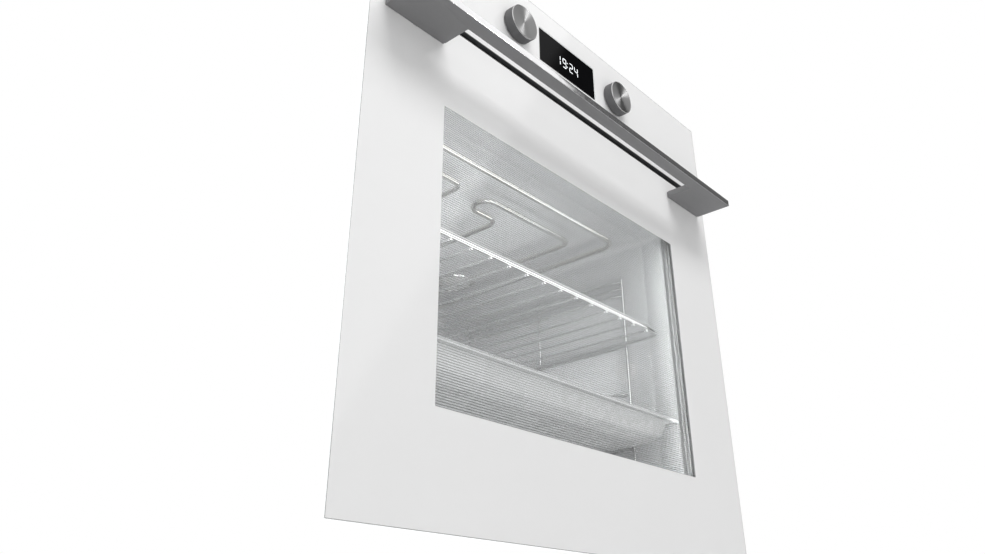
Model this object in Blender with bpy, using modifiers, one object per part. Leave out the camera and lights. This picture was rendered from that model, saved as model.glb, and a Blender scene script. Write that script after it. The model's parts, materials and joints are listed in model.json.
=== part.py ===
"""Built-in wall oven: white glass front, drop-down door, enamelled cavity and the parts inside.

Sizes are in millimetres and become metres in at(). X runs to the right as seen from the front,
D (depth) runs backwards from the outer face of the glass, and H (height) runs upwards from the
surface that the oven stands on. The origin is under the middle of the oven, on that surface.
"""
import math

import bmesh
import bpy
from mathutils import Matrix, Vector

# Overall sizes
FRONT_WIDTH = 595.0
FRONT_HEIGHT = 595.0
FRONT_LIFT = 3.0            # lower edge of the glass above the base
DEPTH = 559.0               # glass to rear panel
HANDLE_REACH = 48.0         # handle in front of the glass
GLASS = 4.0
GAP = 0.3                   # between pieces that touch
SHEET = 1.2                 # sheet steel
VENT = 3.6                  # width of the cooling slots

# Front, door and control panel
HALF_FRONT = FRONT_WIDTH / 2
DOOR_TOP = 476.8
PANEL_BOTTOM = 484.4
PANEL_TOP = FRONT_LIFT + FRONT_HEIGHT
DISPLAY_HALF, DISPLAY_H = 52.3, (523.0, 568.5)
KNOB_X, KNOB_H, KNOB_R, KNOB_REACH = 93.5, 542.8, 21.0, 13.0
HANDLE_HALF, HANDLE_H = 280.0, (450.5, 458.5)
GRIP_HALF, GRIP_D = 204.0, -33.0      # the finger gap's half width and the back of the grip bar
BOLT_X = 242.0

# Door structure and hinge
HINGE_D, HINGE_H = 8.5, 19.0
PROFILE_X = (258.0, 272.0)
PROFILE_D = (GLASS + GAP, 22.0)
PROFILE_H = (8.0, 474.0)
INNER_GLASS_D = (22.3, 26.3)
ARM_X = (262.0, 268.0)
ARM_HALF = 4.0
PIN_R = 2.5

# Housing
HALF_BODY = 278.2
BODY_FRONT = 31.0
BODY_TOP = 577.0
FLANGE_D = (20.0, 21.5)

# Cavity: inner faces
CAVITY_HALF, CAVITY_D, CAVITY_H = 240.0, (32.5, 446.0), (83.0, 421.0)
CAVITY_RADIUS = 8.0
CAVITY_MID_H = (CAVITY_H[0] + CAVITY_H[1]) / 2
WOOL = 14.0
LAMP_X, LAMP_D, LAMP_R = 169.0, 350.0, 26.0
ELEMENT_R = 3.2
GRILL_H = 403.0
OUTER_LOOP_X, INNER_LOOP_X = 190.0, 146.0
RING_R, RING_D, RING_LEG_X = 85.0, 436.0, 14.0
BOTTOM_LEG_X, BOTTOM_H = 20.0, 74.0
PROBE_X, PROBE_H = -168.0, 388.0

# Side racks, shelf and tray
UPRIGHT_X, UPRIGHT_R, UPRIGHT_D = 236.5, 1.75, (99.5, 241.0, 385.0)
RAIL_X, RAIL_R = 232.5, 1.5
RAIL_H = (146.0, 165.2, 217.0, 277.0, 350.0, 360.0, 370.0)
SHELF_X, SHELF_D, SHELF_R = 230.2, (46.0, 402.0), 2.5
SHELF_H, SHELF_FRONT_H = 280.7, 283.0
CROSSWIRE_STEP, CROSSWIRES_A_SIDE = 28.5, 7
TRAY_X, TRAY_D, TRAY_H = 232.3, (29.0, 395.0), (140.5, 167.7)
TRAY_TAPER, TRAY_RIM = 36.0, 9.0

# Fans
FAN_R, FAN_D = 70.0, (427.0, 443.0)
BLOWER_D, BLOWER_R, BLOWER_H = 400.0, 55.0, (446.0, 468.0)
DUCT_H = (439.3, 474.0)

MM = 0.001
CENTRE_D = (DEPTH - HANDLE_REACH) / 2

# Looks: colour, roughness, metallic
WHITE_GLASS = ((0.84, 0.84, 0.84), 0.08, 0.0)
CLEAR_GLASS = ((0.75, 0.78, 0.78), 0.05, 0.0)
BLACK_GLASS = ((0.01, 0.01, 0.012), 0.06, 0.0)
STEEL = ((0.52, 0.52, 0.53), 0.34, 1.0)
DARK_STEEL = ((0.30, 0.30, 0.31), 0.38, 1.0)
CHROME = ((0.80, 0.80, 0.80), 0.12, 1.0)
ZINC = ((0.58, 0.59, 0.60), 0.42, 1.0)
ENAMEL = ((0.36, 0.37, 0.38), 0.28, 0.0)
ALUMINIUM = ((0.70, 0.70, 0.71), 0.35, 1.0)
BLACK_PLASTIC = ((0.03, 0.03, 0.03), 0.50, 0.0)
GREY_PLASTIC = ((0.62, 0.62, 0.62), 0.50, 0.0)
RUBBER = ((0.10, 0.10, 0.11), 0.70, 0.0)
MINERAL_WOOL = ((0.72, 0.68, 0.55), 0.95, 0.0)
BOARD = ((0.06, 0.22, 0.10), 0.55, 0.0)


def at(x, d, h):
    """The world position, in metres, of a place in the oven."""
    return Vector((x, d - CENTRE_D, h)) * MM


def clear_scene():
    for obj in list(bpy.data.objects):
        bpy.data.objects.remove(obj, do_unlink=True)


def new_collection(name):
    collection = bpy.data.collections.new(name)
    bpy.context.scene.collection.children.link(collection)
    return collection


def finish_of(name, look):
    """A material of the piece's own."""
    colour, roughness, metallic = look
    material = bpy.data.materials.new(name)
    material.use_nodes = True
    shader = material.node_tree.nodes["Principled BSDF"]
    shader.inputs["Base Color"].default_value = (*colour, 1.0)
    shader.inputs["Roughness"].default_value = roughness
    shader.inputs["Metallic"].default_value = metallic
    material.diffuse_color = (*colour, 1.0)
    return material


def add(name, data, look, location=(0, 0, 0), rotation=(0, 0, 0)):
    """Link an object as a part, or as a cutter where it has no look."""
    obj = bpy.data.objects.new(name, data)
    obj.location = location
    obj.rotation_euler = rotation
    if look is None:
        CUTTERS.objects.link(obj)
        obj.hide_render = True
        obj.display_type = "WIRE"
    else:
        PARTS.objects.link(obj)
        data.materials.append(finish_of(name, look))
    return obj


def to_mesh(name, bm, smooth=False):
    mesh = bpy.data.meshes.new(name)
    bm.to_mesh(mesh)
    bm.free()
    if smooth:
        mesh.shade_smooth()
        mesh.set_sharp_from_angle(angle=math.radians(40))
    return mesh


def centre_and_size(x, d, h):
    low, high = at(x[0], d[0], h[0]), at(x[1], d[1], h[1])
    return (low + high) / 2, high - low


def box(name, x, d, h, look=None, bevel=0.0):
    """A block between (low, high) pairs, its edges eased by a bevel if one is given."""
    centre, size = centre_and_size(x, d, h)
    bm = bmesh.new()
    bmesh.ops.create_cube(bm, size=1.0, matrix=Matrix.Diagonal((*size, 1.0)))
    obj = add(name, to_mesh(name, bm), look, centre)
    if bevel:
        ease = obj.modifiers.new("Bevel", "BEVEL")
        ease.width = bevel * MM
        ease.segments = 2
    return obj


def boxes(name, places, look=None):
    """Several separate blocks in one object, each given as its x, d and h pairs."""
    bm = bmesh.new()
    for x, d, h in places:
        centre, size = centre_and_size(x, d, h)
        bmesh.ops.create_cube(bm, size=1.0, matrix=Matrix.Translation(centre) @ Matrix.Diagonal((*size, 1.0)))
    return add(name, to_mesh(name, bm), look)


def open_box(name, x, d, h, missing, thickness, look, corner=0.0):
    """A folded sheet: a block without the named faces, with its wall outside the given sizes."""
    normals = {"front": Vector((0, -1, 0)), "back": Vector((0, 1, 0)),
               "bottom": Vector((0, 0, -1)), "top": Vector((0, 0, 1))}
    centre, size = centre_and_size(x, d, h)
    bm = bmesh.new()
    bmesh.ops.create_cube(bm, size=1.0, matrix=Matrix.Diagonal((*size, 1.0)))
    gone = [f for f in bm.faces if any(f.normal.dot(normals[m]) > 0.9 for m in missing)]
    bmesh.ops.delete(bm, geom=gone, context="FACES")
    if corner:
        folds = [e for e in bm.edges if not e.is_boundary]
        bmesh.ops.bevel(bm, geom=folds, offset=corner * MM, segments=3, profile=0.5, affect="EDGES")
    obj = add(name, to_mesh(name, bm, smooth=bool(corner)), look, centre)
    wall = obj.modifiers.new("Solidify", "SOLIDIFY")
    wall.thickness = thickness * MM
    wall.offset = 1.0
    wall.use_even_offset = True
    return obj


AXIS_TURN = {"x": (0, math.pi / 2, 0), "d": (math.pi / 2, 0, 0), "h": (0, 0, 0)}


def rods(name, places, axis, look=None, sides=24):
    """Cylinders along one axis, each given as its centre (x, d, h), radius and length."""
    turn = Matrix.Rotation(AXIS_TURN[axis][0], 4, "X") @ Matrix.Rotation(AXIS_TURN[axis][1], 4, "Y")
    bm = bmesh.new()
    for centre, radius, length in places:
        bmesh.ops.create_cone(bm, cap_ends=True, segments=sides, radius1=radius * MM, radius2=radius * MM,
                              depth=length * MM, matrix=Matrix.Translation(at(*centre)) @ turn)
    return add(name, to_mesh(name, bm, smooth=True), look)


def turned(name, profile, centre, axis, look=None, steps=24):
    """A turned piece: (radius, distance along the axis) pairs from its top, down its outer side."""
    bm = bmesh.new()
    points = [bm.verts.new((radius * MM, 0, along * MM)) for radius, along in profile]
    for a, b in zip(points, points[1:]):
        bm.edges.new((a, b))
    obj = add(name, to_mesh(name, bm), look, at(*centre), AXIS_TURN[axis])
    screw = obj.modifiers.new("Screw", "SCREW")
    screw.steps = screw.render_steps = steps
    screw.use_merge_vertices = True
    screw.merge_threshold = 0.00001
    screw.use_smooth_shade = False
    return obj


def rounded(points, radius, closed=False, steps=4):
    """The route with each corner turned into an arc."""
    points = [Vector(p) for p in points]
    count = len(points)
    route = []
    for i, corner in enumerate(points):
        if not closed and i in (0, count - 1):
            route.append(corner)
            continue
        back = (points[i - 1] - corner).normalized()
        ahead = (points[(i + 1) % count] - corner).normalized()
        half = back.angle(ahead) / 2
        centre = corner + (back + ahead).normalized() * (radius / math.sin(half))
        start = (corner + back * (radius / math.tan(half)) - centre).normalized()
        end = (corner + ahead * (radius / math.tan(half)) - centre).normalized()
        route += [centre + start.slerp(end, step / steps) * radius for step in range(steps + 1)]
    return route


def wires(name, paths, radius, look, closed=False, fineness=1):
    """Round wires along routes of (x, d, h) points, as one curve object: one radius, or one for each."""
    radii = radius if isinstance(radius, list) else [radius] * len(paths)
    curve = bpy.data.curves.new(name, "CURVE")
    curve.dimensions = "3D"
    curve.bevel_depth = max(radii) * MM
    curve.bevel_resolution = fineness
    curve.use_fill_caps = True
    for path, size in zip(paths, radii):
        spline = curve.splines.new("POLY")
        spline.points.add(len(path) - 1)
        for point, place in zip(spline.points, path):
            point.co = (*at(*place), 1.0)
            point.radius = size / max(radii)
        spline.use_cyclic_u = closed
    return add(name, curve, look)


def as_mesh(obj):
    """The same curve as a mesh with welded caps, for Boolean work."""
    name, material, collection = obj.name, obj.data.materials[:1], obj.users_collection[0]
    evaluated = obj.evaluated_get(bpy.context.evaluated_depsgraph_get())
    mesh = bpy.data.meshes.new_from_object(evaluated)
    bm = bmesh.new()
    bm.from_mesh(mesh)
    bmesh.ops.remove_doubles(bm, verts=bm.verts, dist=0.00001)
    bm.to_mesh(mesh)
    bm.free()
    mesh.materials.clear()
    for each in material:
        mesh.materials.append(each)
    solid = bpy.data.objects.new(name, mesh)
    solid.matrix_world = obj.matrix_world
    collection.objects.link(solid)
    bpy.data.objects.remove(obj, do_unlink=True)
    solid.name = name
    return solid


def combine(obj, tool, operation="DIFFERENCE"):
    """Cut the tool out of an object, or unite the two."""
    boolean = obj.modifiers.new(operation.title(), "BOOLEAN")
    boolean.operation = operation
    boolean.solver = "EXACT"
    boolean.object = tool
    return obj


def tool_wires(name, paths, radius):
    """Wires that are united with another object."""
    tool = as_mesh(wires(name, paths, radius, CHROME))
    PARTS.objects.unlink(tool)
    CUTTERS.objects.link(tool)
    tool.hide_render = True
    tool.display_type = "WIRE"
    return tool


def pivot(name, place):
    """An empty on a joint's axis, for pieces that move together."""
    empty = bpy.data.objects.new(name, None)
    empty.location = at(*place)
    PARTS.objects.link(empty)
    return empty


def hang(parent, pieces):
    for piece in pieces:
        piece.parent = parent
        piece.matrix_parent_inverse = Matrix.Translation(parent.location).inverted()


def both(low, high):
    """A pair on each side of the middle."""
    return {"left": (-high, -low), "right": (low, high)}


# ---------------------------------------------------------------- housing

def housing():
    inside = HALF_BODY - SHEET - GAP
    back = (BODY_FRONT + SHEET + GAP, DEPTH - SHEET - GAP)
    open_box("base_plate", (-inside + SHEET, inside - SHEET), (back[0], back[1] - SHEET),
             (SHEET, 14.0), ("top", "front"), SHEET, ZINC)
    for side, x in both(HALF_BODY - SHEET, HALF_BODY).items():
        panel = box(f"{side}_side_panel", x, (back[0], DEPTH), (GAP, BODY_TOP - SHEET - GAP), ZINC)
        slots = [((x[0] - 1, x[1] + 1), (80 + 40 * i, 108 + 40 * i), (545, 545 + VENT)) for i in range(10)]
        combine(panel, boxes(f"{side}_side_slots", slots))
    cover = box("top_cover", (-HALF_BODY, HALF_BODY), (back[0], DEPTH), (BODY_TOP - SHEET, BODY_TOP), ZINC)
    slots = [((16 * i - VENT / 2, 16 * i + VENT / 2), (d, d + 60), (570, 580))
             for i in range(-9, 10) for d in (330, 420)]
    combine(cover, boxes("top_slots", slots))
    rear = box("rear_panel", (-inside, inside), (DEPTH - SHEET, DEPTH), (GAP, BODY_TOP - SHEET - GAP), ZINC)
    slots = [((-200 + 28 * i, -180 + 28 * i), (550, 565), (h, h + VENT))
             for i in range(13) for h in (520, 532)]
    combine(rear, boxes("rear_slots", slots))
    combine(rear, rods("cable_entry", [((182, DEPTH, 445), 11, 20)], "d"))
    shield = box("heat_shield_plate", (-inside + 1, inside - 1), (back[0] + 0.5, back[1] - 1), (438, 439), ZINC)
    combine(shield, rods("shield_lamp_hole", [((LAMP_X, LAMP_D, 438), LAMP_R + 5, 20)], "h"))


def front_frame():
    """The steel face behind the door, with the cavity's mouth and the slots in it."""
    frame = box("front_frame", (-HALF_BODY, HALF_BODY), (BODY_FRONT, BODY_FRONT + SHEET),
                (8, BODY_TOP - SHEET - GAP), ENAMEL)
    mouth = box("cavity_mouth", (-CAVITY_HALF, CAVITY_HALF), (20, 45), CAVITY_H)
    ease = mouth.modifiers.new("Bevel", "BEVEL")
    ease.width = CAVITY_RADIUS * MM
    ease.segments = 3
    combine(frame, mouth)
    slots = [((-200, 200), (20, 45), (455, 474)), ((-250, 250), (20, 45), (492, 566))]
    for x in both(ARM_X[0] - 1, ARM_X[1] + 1).values():
        slots.append((x, (20, 45), (HINGE_H - ARM_HALF - 1, HINGE_H + ARM_HALF + 1)))
    combine(frame, boxes("frame_slots", slots))


def mounting_flanges():
    """Side strips whose back faces meet the cabinet, with holes for the fixing screws."""
    for side, x in both(HALF_BODY + GAP, HALF_FRONT - 0.5).items():
        flange = box(f"{side}_mounting_flange", x, FLANGE_D, (24, 588), ALUMINIUM)
        leg = both(HALF_BODY + GAP, HALF_BODY + GAP + SHEET)[side]
        combine(flange, box(f"{side}_flange_leg", leg, (FLANGE_D[0] + 0.4, 60), (24, 560)), "UNION")
        middle = (x[0] + x[1]) / 2
        holes = [((middle, FLANGE_D[0], h), 2.25, 10) for h in (120, 470)]
        combine(flange, rods(f"{side}_flange_holes", holes, "d", sides=12))


# ---------------------------------------------------------------- cavity

def rear_holes(grow):
    """Where the shaft, the elements and the probe pass through the back wall."""
    places = [((0, CAVITY_D[1], CAVITY_MID_H), 7 + grow, 60)]
    legs = [(OUTER_LOOP_X, GRILL_H), (INNER_LOOP_X, GRILL_H), (RING_LEG_X, CAVITY_MID_H - RING_R)]
    places += [((sign * x, CAVITY_D[1], h), 4.5 + grow, 60) for x, h in legs for sign in (-1, 1)]
    places.append(((PROBE_X, CAVITY_D[1], PROBE_H), 3.5 + grow, 60))
    return places


def cavity():
    x = (-CAVITY_HALF, CAVITY_HALF)
    liner = open_box("cavity_liner", x, CAVITY_D, CAVITY_H, ("front",), SHEET, ENAMEL, CAVITY_RADIUS)
    combine(liner, rods("liner_rear_holes", rear_holes(0), "d", sides=12))
    combine(liner, rods("liner_lamp_hole", [((LAMP_X, LAMP_D, CAVITY_H[1]), LAMP_R + 1, 20)], "h"))

    reach = 2.5
    wool = open_box("insulation_blanket", (x[0] - reach, x[1] + reach), (33, 449),
                    (66, CAVITY_H[1] + reach), ("front",), WOOL, MINERAL_WOOL)
    holes = rear_holes(1.5)
    holes += [((sign * BOTTOM_LEG_X, 450, BOTTOM_H), 6, 60) for sign in (-1, 1)]
    combine(wool, rods("wool_rear_holes", holes, "d", sides=12))
    combine(wool, rods("wool_lamp_hole", [((LAMP_X, LAMP_D, CAVITY_H[1] + 10), LAMP_R + 5, 40)], "h"))


def gasket():
    """A round seal on the steel face, all round the cavity's mouth."""
    radius = (BODY_FRONT - INNER_GLASS_D[1] - 2 * GAP) / 2
    x, low, high = CAVITY_HALF + 6, CAVITY_H[0] - 6, CAVITY_H[1] + 6
    d = BODY_FRONT - GAP - radius
    corners = [(-x, d, low), (x, d, low), (x, d, high), (-x, d, high)]
    wires("door_gasket", [rounded(corners, 16, closed=True)], radius, RUBBER, closed=True)


def heating_elements():
    leg = 470
    outer = [(-OUTER_LOOP_X, leg, GRILL_H), (-OUTER_LOOP_X, 74, GRILL_H),
             (OUTER_LOOP_X, 74, GRILL_H), (OUTER_LOOP_X, leg, GRILL_H)]
    wires("top_heating_element", [rounded(outer, 22)], ELEMENT_R, DARK_STEEL)
    inner = [(-INNER_LOOP_X, leg), (-INNER_LOOP_X, 115), (-56, 115), (-56, 330), (38, 330), (38, 146),
             (-15, 146), (-15, 115), (INNER_LOOP_X, 115), (INNER_LOOP_X, leg)]
    inner = [(x, d, GRILL_H) for x, d in inner]
    wires("grill_element", [rounded(inner, 15)], ELEMENT_R, DARK_STEEL)
    bottom = [(-BOTTOM_LEG_X, leg), (-BOTTOM_LEG_X, 400), (-170, 400), (-170, 90), (-60, 90), (-60, 330),
              (60, 330), (60, 90), (170, 90), (170, 400), (BOTTOM_LEG_X, 400), (BOTTOM_LEG_X, leg)]
    wires("bottom_heating_element", [rounded([(x, d, BOTTOM_H) for x, d in bottom], 18)], ELEMENT_R,
          DARK_STEEL)

    gap_angle = math.asin(RING_LEG_X / RING_R)
    ring = [(-RING_LEG_X, leg, CAVITY_MID_H - RING_R)]
    for step in range(25):
        angle = gap_angle + (2 * math.pi - 2 * gap_angle) * step / 24
        ring.append((-RING_R * math.sin(angle), RING_D, CAVITY_MID_H - RING_R * math.cos(angle)))
    ring.append((RING_LEG_X, leg, CAVITY_MID_H - RING_R))
    wires("ring_heating_element", [ring], ELEMENT_R, DARK_STEEL)


def fan_blades(name, centre, count, radii, length, axis, lean):
    """Flat blades round a centre, as one tool: radii are their inner and outer ends."""
    bm = bmesh.new()
    middle, reach = (radii[0] + radii[1]) / 2 * MM, (radii[1] - radii[0]) * MM
    turn = Matrix.Rotation(AXIS_TURN[axis][0], 4, "X")
    for i in range(count):
        place = (Matrix.Translation(at(*centre)) @ turn
                 @ Matrix.Rotation(2 * math.pi * i / count, 4, "Z") @ Matrix.Translation((middle, 0, 0))
                 @ Matrix.Rotation(lean, 4, "Z") @ Matrix.Diagonal((reach, SHEET * MM, length * MM, 1.0)))
        bmesh.ops.create_cube(bm, size=1.0, matrix=place)
    return add(name, to_mesh(name, bm), None)


def convection_fan():
    """Fan wheel with its shaft, turning about an axis that runs front to back."""
    front, back = FAN_D
    centre = (0, back, CAVITY_MID_H)
    profile = [(0, 14), (9, 14), (11, 12), (11, SHEET), (FAN_R, SHEET), (FAN_R, 0), (4, 0), (4, -20), (0, -20)]
    wheel = turned("convection_fan", profile, centre, "d", ZINC)
    blades = fan_blades("convection_blades", (0, back - 7, CAVITY_MID_H), 12, (28, FAN_R - 2), 12.6, "d", 0.35)
    combine(wheel, blades, "UNION")
    turned("convection_fan_motor", [(0, 36), (24, 36), (32, 28), (32, 0.3), (0, 0.3)],
           (0, 500, CAVITY_MID_H), "d", DARK_STEEL)


def fan_cover():
    """A dished sheet over the fan with an intake grille and side outlets."""
    half, reach, front = 138.0, 118.0, 418.0
    h = (CAVITY_MID_H - reach, CAVITY_MID_H + reach)
    cover = open_box("fan_cover", (-half, half), (front, CAVITY_D[1] - GAP), h, ("back",), SHEET, ENAMEL, 5)
    bm = bmesh.new()
    for ring, count in ((22, 7), (44, 14)):
        for i in range(count):
            place = (Matrix.Translation(at(0, front, CAVITY_MID_H)) @ Matrix.Rotation(math.pi / 2, 4, "X")
                     @ Matrix.Rotation(2 * math.pi * (i + 0.5) / count, 4, "Z")
                     @ Matrix.Translation((ring * MM, 0, 0)) @ Matrix.Diagonal((16 * MM, 5 * MM, 20 * MM, 1)))
            bmesh.ops.create_cube(bm, size=1.0, matrix=place)
    combine(cover, add("intake_slots", to_mesh("intake_slots", bm), None))
    slots = [(x, (front + 8, front + 20), (h[0] + 20 + 42 * i, h[0] + 46 + 42 * i))
             for x in ((-half - 5, -half + 5), (half - 5, half + 5)) for i in range(5)]
    combine(cover, boxes("outlet_slots", slots))


def lamp_and_probe():
    top = CAVITY_H[1] + SHEET + GAP
    outside, inside = LAMP_R + 3.5, LAMP_R + 2.2
    shell = [(0, 26), (outside, 26), (outside, 0), (inside, 0), (inside, 26 - SHEET), (0, 26 - SHEET)]
    turned("lamp_housing", shell, (LAMP_X, LAMP_D, top), "h", ZINC)
    lens = [(0, 3), (LAMP_R, 3), (LAMP_R, -1), (LAMP_R - 3, -5), (LAMP_R * 0.5, -8), (0, -9)]
    turned("lamp_lens", lens, (LAMP_X, LAMP_D, CAVITY_H[1]), "h", CLEAR_GLASS)
    bulb = [(0, 19), (5, 19), (6, 17), (6, 5), (4, 2.5), (0, 2)]
    turned("lamp_bulb", bulb, (LAMP_X, LAMP_D, top + 2), "h", CLEAR_GLASS, steps=16)
    rods("temperature_probe", [((PROBE_X, 437, PROBE_H), 2.5, 74)], "d", CHROME, sides=16)


# ---------------------------------------------------------------- racks, shelf and tray

def side_racks():
    for side, sign in (("left", -1), ("right", 1)):
        uprights = []
        for d, x in zip(UPRIGHT_D, (UPRIGHT_X, UPRIGHT_X - 1.2, UPRIGHT_X)):
            wall = CAVITY_HALF - GAP - UPRIGHT_R
            route = [(wall, d, 378), (x, d, 374), (x, d, 104), (wall, d, 100)]
            uprights.append([(sign * px, pd, ph) for px, pd, ph in route])
        rack = as_mesh(wires(f"{side}_side_rack", uprights, UPRIGHT_R, CHROME))
        rails = []
        for h in RAIL_H:
            ends = UPRIGHT_D[0], UPRIGHT_D[2]
            route = [(UPRIGHT_X, ends[0], h), (RAIL_X, ends[0] + 12, h), (RAIL_X, ends[1] - 12, h),
                     (UPRIGHT_X, ends[1], h)]
            rails.append([(sign * px, pd, ph) for px, pd, ph in route])
        combine(rack, tool_wires(f"{side}_rails", rails, RAIL_R), "UNION")
        nut = turned(f"{side}_rack_nut", [(0, 1.4), (5.5, 1.4), (6, 1.0), (6, 0.8), (13, 0.8), (13, 0), (0, 0)],
                     (sign * (CAVITY_HALF - GAP), 103.5, 247), "x", CHROME, steps=24)
        nut.rotation_euler = (0, -sign * math.pi / 2, 0)


def wire_shelf():
    """A closed frame of thick wire with crosswires welded under it and a stop at its back."""
    x, (front, back) = SHELF_X, SHELF_D
    frame = [(-x, front + 16, SHELF_H), (-x, back, SHELF_H), (x, back, SHELF_H), (x, front + 16, SHELF_H),
             (x - 5, front, SHELF_FRONT_H), (5 - x, front, SHELF_FRONT_H)]
    shelf = as_mesh(wires("wire_shelf", [rounded(frame, 12, closed=True)], SHELF_R, CHROME, closed=True))
    under = SHELF_H - 0.75
    cross = [[(i * CROSSWIRE_STEP, front - 1.9, under), (i * CROSSWIRE_STEP, back + 1.3, under)]
             for i in range(-CROSSWIRES_A_SIDE, CROSSWIRES_A_SIDE + 1)]
    lip_d, lip_h = front + 0.5, SHELF_FRONT_H + 4.6
    lip = [(18 - x, lip_d, SHELF_FRONT_H - 0.7), (23 - x, lip_d, lip_h),
           (x - 23, lip_d, lip_h), (x - 18, lip_d, SHELF_FRONT_H - 0.7)]
    stop = [(-207, back, SHELF_H), (-207, back + 2, SHELF_H + 18), (207, back + 2, SHELF_H + 18),
            (207, back, SHELF_H)]
    thin = tool_wires("shelf_thin_wires", cross + [lip, rounded(stop, 6, steps=3)], [1.5] * len(cross) + [1.2, 1.8])
    combine(shelf, thin, "UNION")


def baking_tray():
    """A pressed tray: a tapered dish with a flat rim, drawn as a sheet and given its thickness."""
    (front, back), (low, high) = TRAY_D, TRAY_H
    rings = []
    for inset, h in ((0.0, high), (TRAY_RIM, high), (TRAY_RIM + TRAY_TAPER * 0.55, low + 4),
                     (TRAY_RIM + TRAY_TAPER * 0.8, low)):
        x, a, b = TRAY_X - inset, front + inset * 0.75, back - inset * 0.75
        corner = max(20.0 - inset * 0.15, 8.0)
        outline = rounded([(-x, a, h), (x, a, h), (x, b, h), (-x, b, h)], corner, closed=True, steps=3)
        rings.append([at(*p) for p in outline])
    bm = bmesh.new()
    loops = [[bm.verts.new(p) for p in ring] for ring in rings]
    for outer, inner in zip(loops, loops[1:]):
        for i in range(len(outer)):
            j = (i + 1) % len(outer)
            bm.faces.new((outer[i], outer[j], inner[j], inner[i]))
    bm.faces.new(loops[-1])
    bmesh.ops.recalc_face_normals(bm, faces=bm.faces)
    tray = add("baking_tray", to_mesh("baking_tray", bm, smooth=True), ENAMEL)
    wall = tray.modifiers.new("Solidify", "SOLIDIFY")
    wall.thickness = 1.2 * MM
    wall.offset = 0.0


# ---------------------------------------------------------------- cooling and electrics

def cooling_fan():
    duct = open_box("air_duct", (-130, 130), (34, 520), (DUCT_H[0], DUCT_H[1] - SHEET), ("bottom", "front"),
                    SHEET, ZINC)
    combine(duct, rods("duct_intake", [((0, BLOWER_D, DUCT_H[1]), 46, 20)], "h"))
    low, high = BLOWER_H
    shaft = 479.7 - low
    profile = [(0, shaft), (3, shaft), (3, 9), (10, 8), (12, SHEET), (BLOWER_R, SHEET), (BLOWER_R, 0), (0, 0)]
    wheel = turned("cooling_fan_wheel", profile, (0, BLOWER_D, low), "h", ZINC)
    blades = fan_blades("blower_blades", (0, BLOWER_D, (low + high) / 2 + 0.3), 16, (36, BLOWER_R - 1.5),
                        high - low - 0.6, "h", 0.5)
    combine(wheel, blades, "UNION")
    bracket = box("cooling_motor_bracket", (-78, 78), (BLOWER_D - 9, BLOWER_D + 9),
                  (DUCT_H[1] + GAP, DUCT_H[1] + GAP + 2), ZINC)
    combine(bracket, rods("bracket_hole", [((0, BLOWER_D, DUCT_H[1]), 5, 20)], "h"))
    turned("cooling_fan_motor", [(0, 40), (20, 40), (30, 32), (30, 8), (22, 0), (0, 0)],
           (0, BLOWER_D, 480), "h", DARK_STEEL)


def electrics():
    board = box("power_board", (-250, -150), (150, 330), (448.8, 450.4), BOARD)
    feet = [((x, d, 444.3), 3, 9.8) for x in (-244, -156) for d in (156, 324)]
    combine(board, rods("board_feet", feet, "h", sides=12), "UNION")
    relays = [((-240, -222), (170 + 28 * i, 190 + 28 * i), (450, 465)) for i in range(4)]
    relays += [((-200, -165), (180, 220), (450, 480)), ((-200, -160), (250, 258), (450, 462)),
               ((-200, -160), (280, 310), (450, 458))]
    combine(board, boxes("board_parts", relays), "UNION")
    block = box("terminal_block", (150, 215), (528, DEPTH - SHEET - GAP), (466, 496), GREY_PLASTIC)
    slots = [((154 + 12 * i, 162 + 12 * i), (520, 545), (476, 500)) for i in range(5)]
    combine(block, boxes("terminal_slots", slots))


# ---------------------------------------------------------------- control panel

def control_panel():
    glass = box("control_panel_glass", (-HALF_FRONT, HALF_FRONT), (0, GLASS), (PANEL_BOTTOM, PANEL_TOP),
                WHITE_GLASS)
    window = (-DISPLAY_HALF - GAP, DISPLAY_HALF + GAP)
    combine(glass, box("display_hole", window, (-5, 9), (DISPLAY_H[0] - GAP, DISPLAY_H[1] + GAP)))
    holes = [((x, 0, KNOB_H), 6, 30) for x in (-KNOB_X, KNOB_X)]
    combine(glass, rods("knob_holes", holes, "d"))
    box("display_window", (-DISPLAY_HALF, DISPLAY_HALF), (0, GLASS), DISPLAY_H, BLACK_GLASS)

    wall = 1.5
    bracket = open_box("control_panel_bracket", (-274.5, 274.5), (GLASS + GAP + wall, 30.7), (487.5, 594.5),
                       ("back",), wall, GREY_PLASTIC)
    combine(bracket, box("bracket_window", (-50, 50), (0, 12), (525, 566.5)))
    combine(bracket, rods("bracket_holes", [((x, 5, KNOB_H), 7, 14) for x in (-KNOB_X, KNOB_X)], "d"))

    display = box("display_board", (-62, 62), (9, 10.6), (510, 580), BOARD)
    combine(display, box("display_module", (-48, 48), (6.2, 9.4), (526, 565.5)), "UNION")
    for name, x in (("function", -KNOB_X), ("temperature", KNOB_X)):
        box(f"{name}_switch", (x - 20, x + 20), (6.2, 28), (KNOB_H - 20, KNOB_H + 20), BLACK_PLASTIC, bevel=1.5)
        knob = [(0, KNOB_REACH - 0.5), (KNOB_R - 2.6, KNOB_REACH - 0.5), (KNOB_R - 2.2, KNOB_REACH),
                (KNOB_R - 1.8, KNOB_REACH), (KNOB_R, KNOB_REACH - 1.8), (KNOB_R, 0.8), (4, 0.8), (4, -5.9),
                (0, -5.9)]
        turned(f"{name}_knob", knob, (x, 0, KNOB_H), "d", STEEL, steps=32)


# ---------------------------------------------------------------- door

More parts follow.
